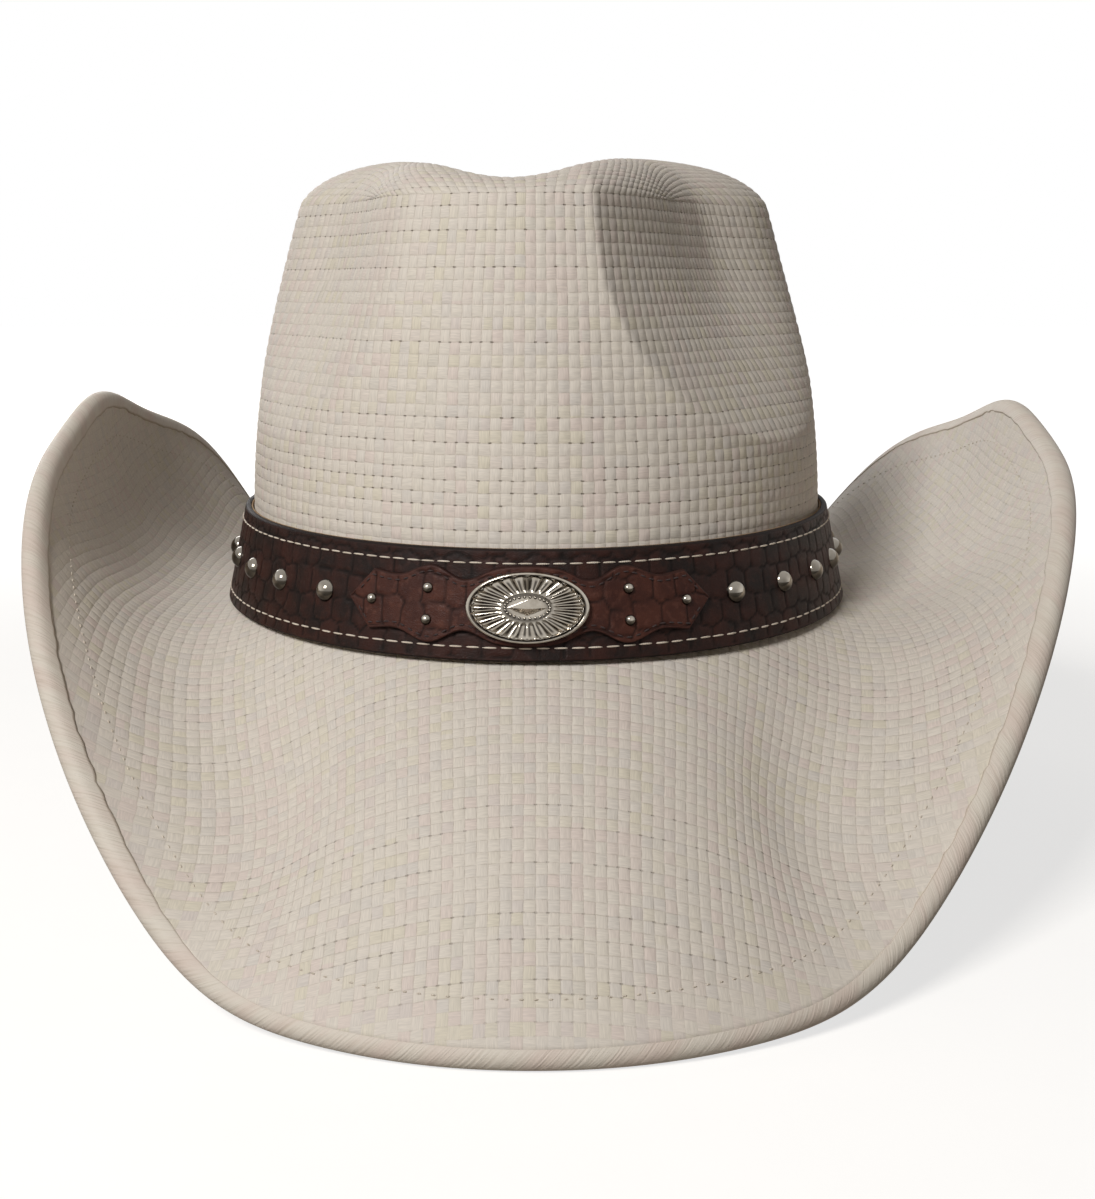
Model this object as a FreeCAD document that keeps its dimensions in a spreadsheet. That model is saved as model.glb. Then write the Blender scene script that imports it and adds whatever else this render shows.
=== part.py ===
"""Straw cowboy hat with a studded leather band, modelled in millimetres.

+Z is up and the wearer looks along -Y. The hat stands on the front and back
of its brim at Z = 0. Heights called h are measured from the plane of the
band's lower edge. Angles around the hat start at the front and grow towards
the right-hand side (+X).
"""
import FreeCAD, Part
import os
from math import acos, atan2, cos, degrees, exp, hypot, pi, radians, sin, sqrt

Vector = FreeCAD.Vector

SIZES = [
    # crown
    ("crown_half_width", 84.2, "outer half width at the top of the band"),
    ("crown_half_length", 104.2, "outer half length at the top of the band"),
    ("straw_wall", 1.5, "thickness of the woven and sized straw"),
    ("split_height", 3.4, "where the crown wall turns into the brim"),
    ("base_flare", 3.0, "how far the wall spreads at its foot"),
    ("shoulder_height", 110.0, "where the side wall turns into the top"),
    ("top_height", 121.0, "highest ridge above the band's lower edge"),
    ("side_taper", 14.6, "how far each side leans in at the shoulder"),
    ("front_taper", 21.0, "how far the front leans back at the shoulder"),
    ("back_taper", 17.0, "how far the back leans in at the shoulder"),
    ("crease_depth", 21.0, "depth of the long crease in the top"),
    ("crease_width", 17.0, "half width of the long crease"),
    ("crease_shift", -6.0, "the crease runs left of the middle"),
    ("dent_depth_left", 12.0, "pinch on the left of the front"),
    ("dent_depth_right", 16.0, "pinch on the right of the front"),
    ("dent_angle_left", 47.0, "direction of the left pinch from the front"),
    ("dent_angle_right", 41.0, "direction of the right pinch from the front"),
    ("dent_spread", 17.0, "angular half width of a pinch"),
    ("dent_foot", 34.0, "height where the pinches fade out"),
    # brim, along the centre of its rolled edge
    ("brim_half_width", 150.4, "widest half width of the edge before the curl"),
    ("brim_half_length", 183.5, "half length of the edge"),
    ("brim_drop", 66.9, "how far the front and back hang below the band"),
    ("tip_height_left", 42.8, "rise of the left curl"),
    ("tip_height_right", 40.0, "rise of the right curl"),
    ("tip_crest", 10.2, "extra crest on each tip"),
    ("curl_lean_left", 9.5, "how far the left curl leans in"),
    ("curl_lean_right", -3.1, "the right curl leans out"),
    ("corner_droop", 5.6, "extra droop beside the flat front"),
    ("bend_radius", 4.0, "bend between crown and brim"),
    ("turn_front", -10.5, "half the turn of the brim section at the front"),
    ("turn_left", 46.0, "half the turn of the brim section on the left"),
    ("turn_right", 40.0, "half the turn of the brim section on the right"),
    # hem and wire
    ("wire_diameter", 1.2, "steel brim wire"),
    ("sleeve_diameter", 3.0, "plastic sleeve on the wire"),
    ("running_gap", 0.1, "space between nested round parts"),
    ("hem_wall", 1.2, "straw turned under the brim"),
    ("hem_depth", 12.0, "how far the hem reaches in from the wire"),
    ("hem_gap", 0.2, "space between the brim and the straw turned under it"),
    # sweatband
    ("sweatband_height", 34.0, "elastic band inside the crown"),
    ("sweatband_wall", 1.2, "thickness of the sweatband"),
    ("sweatband_gap", 0.3, "space between sweatband and crown"),
    ("sweatband_spread", 1.8, "how far the sweatband spreads at its foot"),
    ("sweatband_waist", 16.0, "height where the sweatband is upright"),
    ("sweatband_lean_side", 0.8, "how far its top leans in at the sides"),
    ("sweatband_lean_front", 2.0, "how far its top leans in at front and back"),
    # hatband
    ("band_height", 26.6, "height of the flared leather band"),
    ("band_flare", 5.7, "how far the band spreads towards its lower edge"),
    ("band_clearance", 0.35, "space between crown and band lining"),
    ("lining_wall", 0.5, "band lining"),
    ("strap_wall", 1.65, "band leather"),
    ("layer_gap", 0.05, "space between stacked layers"),
    ("overlay_wall", 1.15, "shaped leather on the front"),
    ("overlay_half_length", 47.5, "from the middle of the overlay to its tip"),
    ("overlay_shift", -2.0, "the overlay sits left of the middle"),
    ("joint_gap", 1.0, "space where the strap ends meet at the back"),
    ("tab_length", 26.0, "leather tab over the strap ends"),
    ("concho_length", 29.4, "oval ornament, long way"),
    ("concho_width", 16.8, "oval ornament, short way"),
    ("concho_rim", 1.3, "width of the ornament's plain rim"),
    ("concho_plate", 1.0, "thickness of the ornament's plate"),
    ("concho_relief", 1.0, "height of rim and flutes above the plate"),
    ("concho_flutes", 26, "number of flutes"),
    ("post_spacing", 17.0, "distance between the two posts"),
    ("dome_diameter", 6.0, "dome studs along the band"),
    ("dome_rise", 2.2, "height of a dome stud"),
    ("dome_first", 57.2, "arc from the overlay's middle to the first stud"),
    ("dome_pitch", 20.6, "arc between studs"),
    ("dome_count", 12, "dome studs on each side"),
    ("bead_diameter", 2.8, "small studs on the overlay"),
    ("bead_rise", 1.2, "height of a small stud"),
    ("rivet_diameter", 5.0, "rivets of the back tab"),
    ("rivet_rise", 1.0, "height of a rivet head"),
    ("shank_diameter", 1.8, "shank of every stud and rivet"),
    ("burr_diameter", 4.2, "washer that a shank is clenched over"),
    ("burr_wall", 0.5, "thickness of that washer"),
    ("back_clearance", 0.1, "space between a washer and the lining"),
    # frame
    ("crown_axis_offset", -5.5, "crown axis from the middle of the overall width"),
]

RING_POINTS = 64
PARTS_FOLDER = "parts"

doc = FreeCAD.newDocument("cowboy_hat")
sheet = doc.addObject("Spreadsheet::Sheet", "Sizes")
for row, (alias, value, note) in enumerate(SIZES, start=1):
    sheet.set(f"A{row}", alias)
    sheet.set(f"B{row}", str(value))
    sheet.set(f"C{row}", note)
    sheet.setAlias(f"B{row}", alias)
doc.recompute()


SHEET_VALUES = {alias: float(sheet.get(alias)) for alias, _, _ in SIZES}


def size(alias):
    """One driving size, as the sheet holds it."""
    return SHEET_VALUES[alias]


ROLL_RADIUS = size("sleeve_diameter") / 2 + size("running_gap") + size("straw_wall")
BAND_BASE = size("brim_drop") + ROLL_RADIUS
AXIS = Vector(size("crown_axis_offset"), 0, BAND_BASE)


def smooth(value):
    """Ease from 0 to 1 with flat ends."""
    clamped = min(max(value, 0.0), 1.0)
    return clamped * clamped * (3 - 2 * clamped)


def signed_power(base, exponent):
    """Power that keeps the sign of its base."""
    return abs(base) ** exponent * (1 if base > 0 else -1)


def ring_angles():
    """Angles around the hat. They start at the back, where the seams are."""
    return [pi + 2 * pi * step / RING_POINTS for step in range(RING_POINTS)]


def wrapped(angle):
    """The same angle between -pi and pi."""
    return atan2(sin(angle), cos(angle))


# Crown

WALL_CURVE = 1.8
FRONT_CURVE = 1.25
FLARE_LENGTH = 6.0
SHOULDER_SHARPNESS = 5.0
CREASE_AT_RIM = 0.2
CREASE_HALF_LENGTH = 95.0
CREASE_MIDDLE = 12.0
TOP_FALL = 7.0
DENT_FULL = 0.62
POLE_SCALE = 0.06
WALL_STEPS = (0.0, 0.1, 0.22, 0.4, 0.6, 0.78, 0.9, 1.0)
TOP_STEPS = (0.985, 0.95, 0.88, 0.76, 0.6, 0.42, 0.22, POLE_SCALE)


def wall_axes(h):
    """Half width, front reach and back reach of the crown's outer wall."""
    span = size("shoulder_height") - size("band_height")
    rise = max(h - size("band_height"), 0.0) / span
    flare = size("base_flare") * exp(-(h - size("split_height")) / FLARE_LENGTH)
    side = size("crown_half_width") + flare - size("side_taper") * rise ** WALL_CURVE
    front = size("crown_half_length") + flare - size("front_taper") * rise ** FRONT_CURVE
    back = size("crown_half_length") + flare - size("back_taper") * rise ** WALL_CURVE
    return side, front, back


def dent(angle, h):
    """How far the two front pinches push the wall in."""
    side = "right" if wrapped(angle) > 0 else "left"
    away = degrees(abs(wrapped(angle))) - size(f"dent_angle_{side}")
    spread = exp(-(away / size("dent_spread")) ** 2)
    reach = DENT_FULL * (size("shoulder_height") - size("dent_foot"))
    return size(f"dent_depth_{side}") * spread * smooth((h - size("dent_foot")) / reach)


def wall_point(angle, h):
    """Point of the crown's outer wall."""
    side, front, back = wall_axes(h)
    depth = front if cos(angle) > 0 else back
    x, y = side * sin(angle), -depth * cos(angle)
    kept = 1 - dent(angle, h) / hypot(x, y)
    return Vector(x * kept, y * kept, h)


def top_height_at(x, y):
    """Height of the creased top over one point of the plan."""
    along = max(1 - ((y - CREASE_MIDDLE) / CREASE_HALF_LENGTH) ** 2, 0.0)
    length_fade = CREASE_AT_RIM + (1 - CREASE_AT_RIM) * along ** 2
    across = exp(-((x - size("crease_shift")) / size("crease_width")) ** 2)
    fall = TOP_FALL * (hypot(x, y) / size("crown_half_length")) ** 2
    return size("top_height") - fall - size("crease_depth") * across * length_fade


def top_point(angle, scale):
    """Point of the crown's top on the shoulder ring drawn in by a scale."""
    shoulder = size("shoulder_height")
    rim = wall_point(angle, shoulder)
    x, y = rim.x * scale, rim.y * scale
    if scale < POLE_SCALE * 1.01:
        return Vector(x, y, top_height_at(size("crease_shift"), 0))
    lift = sqrt(1 - scale ** SHOULDER_SHARPNESS)
    return Vector(x, y, shoulder + (top_height_at(x, y) - shoulder) * lift)


def crown_point(angle, station):
    """Point of the crown's outside: station 0 to 1 on the wall, 1 to 2 on top."""
    if station <= 1:
        split = size("split_height")
        return wall_point(angle, split + (size("shoulder_height") - split) * station)
    return top_point(angle, 2 - station)


# Brim

PLAN_FRONT = 1.96
PLAN_BACK = 2.34
TIP_SETBACK = 10.0
FRONT_RISE = 2.43
FRONT_EASE = 1.79
BACK_RISE = 2.58
CORNER_ANGLE = 29.7
CORNER_SPREAD = 10.3
CREST_SETBACK = 29.2
CREST_SPREAD = 31.7
LEAN_POWER = 3
TURN_POWER = 0.8
HANDLE = 0.36
STEP = 1e-3
BEND_STEPS = (0.0, 0.34, 0.67)
BRIM_STEPS = (0.0, 0.12, 0.28, 0.46, 0.64, 0.82, 0.93, 1.0)


def side_rise(y, half_length):
    """How much of the curl's height the edge has at one place along the hat."""
    if y < TIP_SETBACK:
        away = (TIP_SETBACK - y) / (TIP_SETBACK + half_length)
        return max(1 - min(away, 1.0) ** FRONT_RISE, 0.0) ** FRONT_EASE
    away = (y - TIP_SETBACK) / (half_length - TIP_SETBACK)
    return 0.5 + 0.5 * cos(pi * min(away, 1.0) ** BACK_RISE)


def edge_point(angle):
    """Centre of the rolled brim edge, and the share of the curl there."""
    side = "right" if wrapped(angle) > 0 else "left"
    plan = PLAN_FRONT if cos(angle) > 0 else PLAN_BACK
    x = size("brim_half_width") * signed_power(sin(angle), 2 / plan)
    y = -size("brim_half_length") * signed_power(cos(angle), 2 / plan)
    rise = side_rise(y, size("brim_half_length"))
    bottom = -size("brim_drop")
    h = bottom + (size(f"tip_height_{side}") - bottom) * rise
    from_front = degrees(acos(max(min(cos(angle), 1.0), -1.0)))
    h -= size("corner_droop") * exp(-((from_front - CORNER_ANGLE) / CORNER_SPREAD) ** 2)
    h += size("tip_crest") * exp(-((y - CREST_SETBACK) / CREST_SPREAD) ** 2)
    lean = size(f"curl_lean_{side}") * rise ** LEAN_POWER
    x -= lean if x > 0 else -lean
    return Vector(x, y, h), rise


def section_frame(angle):
    """Plan direction of a brim section, its slopes, and the edge it ends at."""
    side = "right" if wrapped(angle) > 0 else "left"
    edge, rise = edge_point(angle)
    foot = wall_point(angle, size("split_height"))
    plan = Vector(edge.x - foot.x, edge.y - foot.y, 0)
    chord = atan2(edge.z, plan.Length)
    front = radians(size("turn_front"))
    turn = front + (radians(size(f"turn_{side}")) - front) * rise ** TURN_POWER
    plan.normalize()
    return plan, chord - turn, chord + turn, edge


def along(plan, slope):
    """Unit vector in a section plane, tilted up by a slope."""
    return plan * cos(slope) + Vector(0, 0, sin(slope))


def edge_frame(angle):
    """Centre of the roll, the way out across it and the way up from it."""
    plan, _, end_slope, edge = section_frame(angle)
    run = edge_point(angle + STEP)[0] - edge_point(angle - STEP)[0]
    run.normalize()
    upward = along(plan, end_slope).cross(run)
    upward.normalize()
    return edge, run.cross(upward), upward


def bend_point(angle, share):
    """Point of the bend between crown and brim."""
    plan, start_slope, _, _ = section_frame(angle)
    radius = size("bend_radius")
    turned = share * (pi / 2 + start_slope)
    foot = wall_point(angle, size("split_height"))
    return foot + plan * (radius - radius * cos(turned)) - Vector(0, 0, radius * sin(turned))


def brim_point(angle, share):
    """Point of the brim's upper face: a cubic from the bend to the roll."""
    plan, start_slope, _, _ = section_frame(angle)
    edge, outward, upward = edge_frame(angle)
    start = bend_point(angle, 1.0)
    finish = edge + upward * ROLL_RADIUS
    reach = (finish - start).Length * HANDLE
    first = start + along(plan, start_slope) * reach
    second = finish - outward * reach
    rest = 1 - share
    return (start * rest ** 3 + first * (3 * rest ** 2 * share)
            + second * (3 * rest * share ** 2) + finish * share ** 3)


def offset_point(surface, angle, place, distance):
    """A surface point moved square to the surface, to its inner side."""
    across = surface(angle + STEP, place) - surface(angle - STEP, place)
    upward = surface(angle, place + STEP) - surface(angle, place - STEP)
    normal = across.cross(upward)
    normal.normalize()
    return surface(angle, place) - normal * distance


# Surfaces and solids from rings

def ring_of(point_at):
    """Points of one ring around the hat."""
    return [point_at(angle) for angle in ring_angles()]


def ring_curve(points):
    """Smooth closed curve through a ring, with even steps around the hat."""
    curve = Part.BSplineCurve()
    knots = [float(step) for step in range(len(points) + 1)]
    curve.interpolate(Points=points, PeriodicFlag=True, Parameters=knots)
    return curve


def ring_wire(points):
    """Closed wire through a ring."""
    return Part.Wire([ring_curve(points).toShape()])


def ring_spacing(rings):
    """Running mean distance from the first ring to each ring."""
    places = [0.0]
    for near, far in zip(rings, rings[1:]):
        gaps = [(end - start).Length for start, end in zip(near, far)]
        places.append(places[-1] + sum(gaps) / len(gaps))
    return places


def smooth_skin(rings):
    """One smooth face through rings: their poles are joined by cross curves."""
    curves = [ring_curve(ring) for ring in rings]
    places = ring_spacing(rings)
    columns = []
    for column in zip(*[curve.getPoles() for curve in curves]):
        cross = Part.BSplineCurve()
        cross.interpolate(Points=list(column), Parameters=places)
        columns.append(cross)
    poles = [cross.getPoles() for cross in columns]
    lead, cross = curves[0], columns[0]
    surface = Part.BSplineSurface()
    surface.buildFromPolesMultsKnots(
        poles, lead.getMultiplicities(), cross.getMultiplicities(),
        lead.getKnots(), cross.getKnots(), True, False, lead.Degree, cross.Degree)
    return [surface.toShape()]


def straight_skin(rings):
    """Straight strips from each ring to the next."""
    edges = [ring_wire(ring).Edges[0] for ring in rings]
    return [Part.makeRuledSurface(near, far) for near, far in zip(edges, edges[1:])]


def flat_disc(ring):
    """Flat face inside a level ring."""
    return [Part.Face(ring_wire(ring))]


SEWING_REACH = 0.01


def sewn_solid(faces):
    """Solid from faces that meet all round."""
    shell = Part.Compound(faces)
    shell.sewShape(SEWING_REACH)
    solid = Part.Solid(shell.Shells[0])
    if solid.Volume < 0:
        solid.reverse()
    return solid


def add_solid(name, shape):
    """Document object for a shape that no primitive or sketch can give."""
    piece = doc.addObject("Part::Feature", name)
    piece.Shape = shape
    piece.Placement = FreeCAD.Placement(AXIS, FreeCAD.Rotation())
    piece.Label = name
    return piece


def make_crown():
    """Creased crown: outer and inner skins joined by a level rim at the foot."""
    stations = list(WALL_STEPS) + [2 - scale for scale in TOP_STEPS]
    wall = size("straw_wall")
    outer = [ring_of(lambda angle: crown_point(angle, station)) for station in stations]
    inner = []
    for station in stations[1:-1]:
        inner.append(ring_of(lambda angle: offset_point(crown_point, angle, station, wall)))
    foot = [level_inset(point, wall) for point in outer[0]]
    pole = [point - Vector(0, 0, wall) for point in outer[-1]]
    inner = [foot] + inner + [pole]
    faces = smooth_skin(outer) + flat_disc(outer[-1])
    faces += smooth_skin(inner) + flat_disc(inner[-1])
    faces += straight_skin([outer[0], inner[0]])
    return add_solid("crown", sewn_solid(faces))


def level_inset(point, distance):
    """Point moved level towards the crown's axis."""
    kept = 1 - distance / hypot(point.x, point.y)
    return Vector(point.x * kept, point.y * kept, point.z)


def make_brim():
    """Brim: bend, curled sheet and squared edge over the wire."""
    wall = size("straw_wall")
    upper = [ring_of(lambda angle: bend_point(angle, share)) for share in BEND_STEPS]
    lower = [[level_inset(point, wall) for point in upper[0]]]
    for share in BEND_STEPS[1:]:
        lower.append(ring_of(lambda angle: offset_point(bend_point, angle, share, -wall)))
    for share in BRIM_STEPS:
        upper.append(ring_of(lambda angle: brim_point(angle, share)))
        lower.append(ring_of(lambda angle: offset_point(brim_point, angle, share, -wall)))
    lower[-1] = roll_ring(0, ROLL_RADIUS - wall)
    faces = smooth_skin(upper) + smooth_skin(lower)
    faces += straight_skin([upper[0], lower[0]]) + straight_skin([upper[-1], lower[-1]])
    return add_solid("brim", sewn_solid(faces))


def roll_ring(outward, upward):
    """Ring that keeps one place in the section of the rolled edge."""
    def point_at(angle):
        edge, out, up = edge_frame(angle)
        return edge + out * outward + up * upward
    return ring_of(point_at)


def under_ring(depth, drop):
    """Ring under the brim, some way in from the roll and below the upper face."""
    def point_at(angle):
        width = (brim_point(angle, 1) - brim_point(angle, 0)).Length
        return offset_point(brim_point, angle, 1 - depth / width, -drop)
    return ring_of(point_at)


def polar(radius, turn):
    """Place in the edge section at an angle from straight up, outwards."""
    return radius * sin(radians(turn)), radius * cos(radians(turn))


def swept_section(name, rings):
    """Solid of one closed section, given as rings, carried round the brim edge."""
    return add_solid(name, sewn_solid(straight_skin(rings + [rings[0]])))


def make_hem():
    """Straw turned round the wire and under the brim."""
    gap = size("running_gap")
    inner_radius = size("sleeve_diameter") / 2 + gap
    top = size("straw_wall") + size("hem_gap")
    foot = top + size("hem_wall")
    neck = inner_radius + size("hem_wall") + gap
    middle = (neck + ROLL_RADIUS + size("hem_depth")) / 2
    rings = [roll_ring(*polar(ROLL_RADIUS, turn)) for turn in range(0, 181, 30)]
    rings += [under_ring(depth, foot) for depth in (neck + ROLL_RADIUS, middle, size("hem_depth"))]
    rings += [under_ring(depth, top) for depth in (size("hem_depth"), middle, neck)]
    rings += [roll_ring(*polar(inner_radius, turn)) for turn in range(225, -1, -45)]
    return swept_section("brim_hem", rings)


def make_tube(name, radius, bore, sides):
    """Tube round the brim edge, or a plain wire where the bore is 0."""
    turns = [360 * step / sides for step in range(sides)]
    if bore == 0:
        return swept_section(name, [roll_ring(*polar(radius, turn)) for turn in turns])
    skins = []
    for reach in (radius, bore):
        rings = [roll_ring(*polar(reach, turn)) for turn in turns]
        skins.append(sewn_solid(straight_skin(rings + [rings[0]])))
    return add_solid(name, skins[0].cut(skins[1]))


# Rings of the sweatband and hatband

def add_ellipse(name, half_width, half_length, height):
    """Level ellipse whose axes and height follow expressions."""
    ring = doc.addObject("Part::Ellipse", name)
    ring.setExpression("MajorRadius", half_length)
    ring.setExpression("MinorRadius", half_width)
    ring.Placement = FreeCAD.Placement(Vector(), FreeCAD.Rotation(Vector(0, 0, 1), 90))
    ring.setExpression("Placement.Base.x", "Sizes.crown_axis_offset")
    ring.setExpression("Placement.Base.z", f"{BASE_LEVEL} + {height}")
    return ring


BASE_LEVEL = ("(Sizes.brim_drop + Sizes.sleeve_diameter / 2"
              " + Sizes.running_gap + Sizes.straw_wall)")
BAND_INSIDE = "(Sizes.crown_half_width + Sizes.band_clearance)"
BAND_INSIDE_LONG = "(Sizes.crown_half_length + Sizes.band_clearance)"


def add_loft(name, rings):
    """Straight solid loft through level rings."""
    loft = doc.addObject("Part::Loft", name)
    loft.Sections = rings
    loft.Solid = True
    loft.Ruled = True
    return loft


def band_cone(name, offset):
    """Solid cone of the band at an offset from the lining's inner face."""
    top = add_ellipse(f"{name}_top", f"{BAND_INSIDE} + {offset}",
                      f"{BAND_INSIDE_LONG} + {offset}", "Sizes.band_height")
    foot = add_ellipse(f"{name}_foot", f"{BAND_INSIDE} + {offset} + Sizes.band_flare",
                       f"{BAND_INSIDE_LONG} + {offset} + Sizes.band_flare", "0")
    return add_loft(name, [foot, top])


def add_cut(name, base, tool):
    """Base less tool."""
    cut = doc.addObject("Part::Cut", name)
    cut.Base = base
    cut.Tool = tool
    return cut


def band_layer(name, inside, outside):
    """Open cone between two offsets."""
    return add_cut(name, band_cone(f"{name}_outer", outside), band_cone(f"{name}_inner", inside))


STRAP_IN = "(Sizes.lining_wall + Sizes.layer_gap)"
STRAP_OUT = "(Sizes.lining_wall + Sizes.layer_gap + Sizes.strap_wall)"
OVERLAY_IN = f"({STRAP_OUT} + Sizes.layer_gap)"
OVERLAY_OUT = f"({OVERLAY_IN} + Sizes.overlay_wall)"
PLATE_IN = f"({OVERLAY_OUT} + Sizes.layer_gap)"
PLATE_OUT = f"({PLATE_IN} + Sizes.concho_plate)"
RELIEF_OUT = f"({PLATE_OUT} + Sizes.concho_relief)"


def sheet_value(expression):
    """Number that an expression of sheet sizes gives."""
    plain = expression.replace("Sizes.", "")
    total = 0.0
    for term in plain.replace("(", " ").replace(")", " ").split("+"):
        total += size(term.strip())
    return total


def band_axes(h, offset):
    """Half width and half length of the band's cone at a height and offset."""
    spread = size("band_flare") * (1 - h / size("band_height"))
    side = size("crown_half_width") + size("band_clearance") + offset + spread
    length = size("crown_half_length") + size("band_clearance") + offset + spread
    return side, length


ARC_STEP = radians(0.1)


def angle_at_arc(arc):
    """Angle whose arc from the front, along the strap's mid height, is given."""
    side, length = band_axes(size("band_height") / 2, sheet_value(STRAP_OUT))
    angle, travelled, step = 0.0, 0.0, ARC_STEP
    while travelled < abs(arc):
        travelled += hypot(side * cos(angle), length * sin(angle)) * step
        angle += step
    return angle if arc > 0 else -angle


def band_seat(arc, h, offset):
    """Placement on the band's cone, with its Z axis pointing straight out."""
    angle = angle_at_arc(arc)
    side, length = band_axes(h, offset)
    point = Vector(side * sin(angle), -length * cos(angle), h)
    around = Vector(side * cos(angle), length * sin(angle), 0)
    upward = Vector(-sin(angle), cos(angle), 0) * size("band_flare")
    upward = upward + Vector(0, 0, size("band_height"))
    outward = around.cross(upward)
    outward.normalize()
    turn = FreeCAD.Rotation(around, upward, outward, "ZXY")
    return FreeCAD.Placement(point, turn)


def round_profile(points):
    """Solid of revolution about Z from a half section."""
    corners = [Vector(radius, 0, height) for radius, height in points]
    face = Part.Face(Part.makePolygon(corners + [corners[0]]))
    return face.revolve(Vector(), Vector(0, 0, 1), 360)


def domed_stud(diameter, rise, leather):
    """Stud with a spherical cap and a shank that goes through the leather."""
    shank_length = leather - size("back_clearance")
    radius = diameter / 2
    shank = size("shank_diameter") / 2
    sphere = (radius ** 2 + rise ** 2) / (2 * rise)
    tilt = acos((sphere - rise) / sphere) / 2
    mid = Vector(sphere * sin(tilt), 0, rise - sphere + sphere * cos(tilt))
    top, rim = Vector(0, 0, rise), Vector(radius, 0, 0)
    cap = Part.Arc(rim, mid, top).toShape()
    end = Vector(0, 0, -shank_length)
    side = Vector(shank, 0, -shank_length)
    rest = Part.makePolygon([top, end, side, Vector(shank, 0, 0), rim])
    face = Part.Face(Part.Wire([cap] + rest.Edges))
    return face.revolve(Vector(), Vector(0, 0, 1), 360)


def burr():
    """Washer at the back of a shank."""
    washer = Part.makeCylinder(size("burr_diameter") / 2, size("burr_wall"))
    hole = Part.makeCylinder(size("shank_diameter") / 2, size("burr_wall"))
    return washer.cut(hole)


def copies(name, shape, seats):
    """Node of separate equal solids, one on each seat."""
    placed = []
    for seat in seats:
        copy = shape.copy()
        copy.Placement = seat.multiply(shape.Placement)
        placed.append(copy)
    return add_solid(name, Part.Compound(placed))


SPARE = 1.0


def fastener_holes(name, seats, outer_depth):
    """Stepped holes: a clear hole for each shank and a pocket for its washer."""
    shank = size("shank_diameter") / 2 + size("running_gap")
    pocket = size("burr_diameter") / 2 + size("running_gap")
    depth = size("burr_wall") + size("layer_gap") + size("back_clearance")
    drill = Part.makeCylinder(shank, outer_depth + SPARE + SPARE)
    drill.translate(Vector(0, 0, -SPARE - outer_depth))
    spot = Part.makeCylinder(pocket, depth + SPARE)
    spot.translate(Vector(0, 0, -outer_depth - SPARE))
    tool = drill.fuse(spot)
    placed = []
    for seat in seats:
        copy = tool.copy()
        copy.Placement = seat
        placed.append(copy)
    holes = doc.addObject("Part::Feature", name)
    holes.Shape = Part.Compound(placed)
    holes.Placement = FreeCAD.Placement(AXIS, FreeCAD.Rotation())
    return holes


MID_BAND = size("band_height") / 2
BAND_SLANT = size("band_height") / hypot(size("band_height"), size("band_flare"))
STRAP_DEPTH = size("strap_wall") * BAND_SLANT
OVERLAY_DEPTH = STRAP_DEPTH + (size("layer_gap") + size("overlay_wall")) * BAND_SLANT
POST_DEPTH = OVERLAY_DEPTH + size("layer_gap") * BAND_SLANT
STRAP_FACE = sheet_value(STRAP_OUT)
OVERLAY_FACE = sheet_value(OVERLAY_OUT)
PLATE_BACK = sheet_value(PLATE_IN)
BEAD_PLACES = ((-40.3, 0.0), (-24.8, 3.8), (-24.8, -3.8), (24.8, 3.8), (24.8, -3.8), (40.3, 0.0))
RIVET_PLACES = ((-8.5, 7.5), (-8.5, -7.5), (8.5, 7.5), (8.5, -7.5))


def dome_seats(side):
    """Seats of the dome studs on one side: -1 left, 1 right."""
    start = size("overlay_shift")
    count = int(size("dome_count"))
    arcs = [size("dome_first") + size("dome_pitch") * step for step in range(count)]
    return [band_seat(start + side * arc, MID_BAND, STRAP_FACE) for arc in arcs]


def bead_seats(side):
    """Seats of the small overlay studs on one side."""
    places = [place for place in BEAD_PLACES if place[0] * side > 0]
    return [band_seat(size("overlay_shift") + arc, MID_BAND + lift, OVERLAY_FACE)
            for arc, lift in places]


def post_seats():
    """Seats of the two posts behind the oval ornament."""
    half = size("post_spacing") / 2
    middle = size("overlay_shift")
    return [band_seat(middle + arc, MID_BAND, PLATE_BACK) for arc in (-half, half)]


def half_turn(seat):
    """The same seat on the opposite side of the hat."""
    flip = FreeCAD.Placement(Vector(), FreeCAD.Rotation(Vector(0, 0, 1), 180))
    return flip.multiply(seat)


def front_rivet_seats():
    """Seats of the tab's rivets before the tab is turned to the back."""
    return [band_seat(arc, MID_BAND + lift, OVERLAY_FACE) for arc, lift in RIVET_PLACES]


def rivet_seats():
    """Seats of the four rivets of the back tab."""
    return [half_turn(seat) for seat in front_rivet_seats()]


def strap_seats():
    """Every place where a shank goes through the strap, with its depth."""
    return [
        (dome_seats(-1) + dome_seats(1), STRAP_DEPTH),
        (bead_seats(-1) + bead_seats(1) + rivet_seats(), OVERLAY_DEPTH),
        (post_seats(), POST_DEPTH),
    ]


def add_back_gap(name):
    """Block that parts the strap ends at the back."""
    block = doc.addObject("Part::Box", name)
    block.setExpression("Length", "Sizes.joint_gap")
    block.setExpression("Width", "Sizes.crown_half_length")
    block.setExpression("Height", "Sizes.band_height * 2")
    block.setExpression("Placement.Base.x", "Sizes.crown_axis_offset - Sizes.joint_gap / 2")
    block.setExpression("Placement.Base.y", "Sizes.crown_half_length / 2")
    block.setExpression("Placement.Base.z", f"{BASE_LEVEL} - Sizes.band_height / 2")
    return block


def add_fusion(name, shapes):
    """Union of document objects."""
    fusion = doc.addObject("Part::MultiFuse", name)
    fusion.Shapes = shapes
    return fusion


def make_strap():
    """Flared leather strap, open at the back, drilled for its studs."""
    layer = band_layer("strap_layer", STRAP_IN, STRAP_OUT)
    drills = []
    for index, (seats, depth) in enumerate(strap_seats()):
        drills.append(fastener_holes(f"strap_holes_{index}", seats, depth))
    ends = add_cut("strap_open", layer, add_back_gap("strap_gap"))
    return add_cut("band_strap", ends, group("strap_drills", drills))


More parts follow.
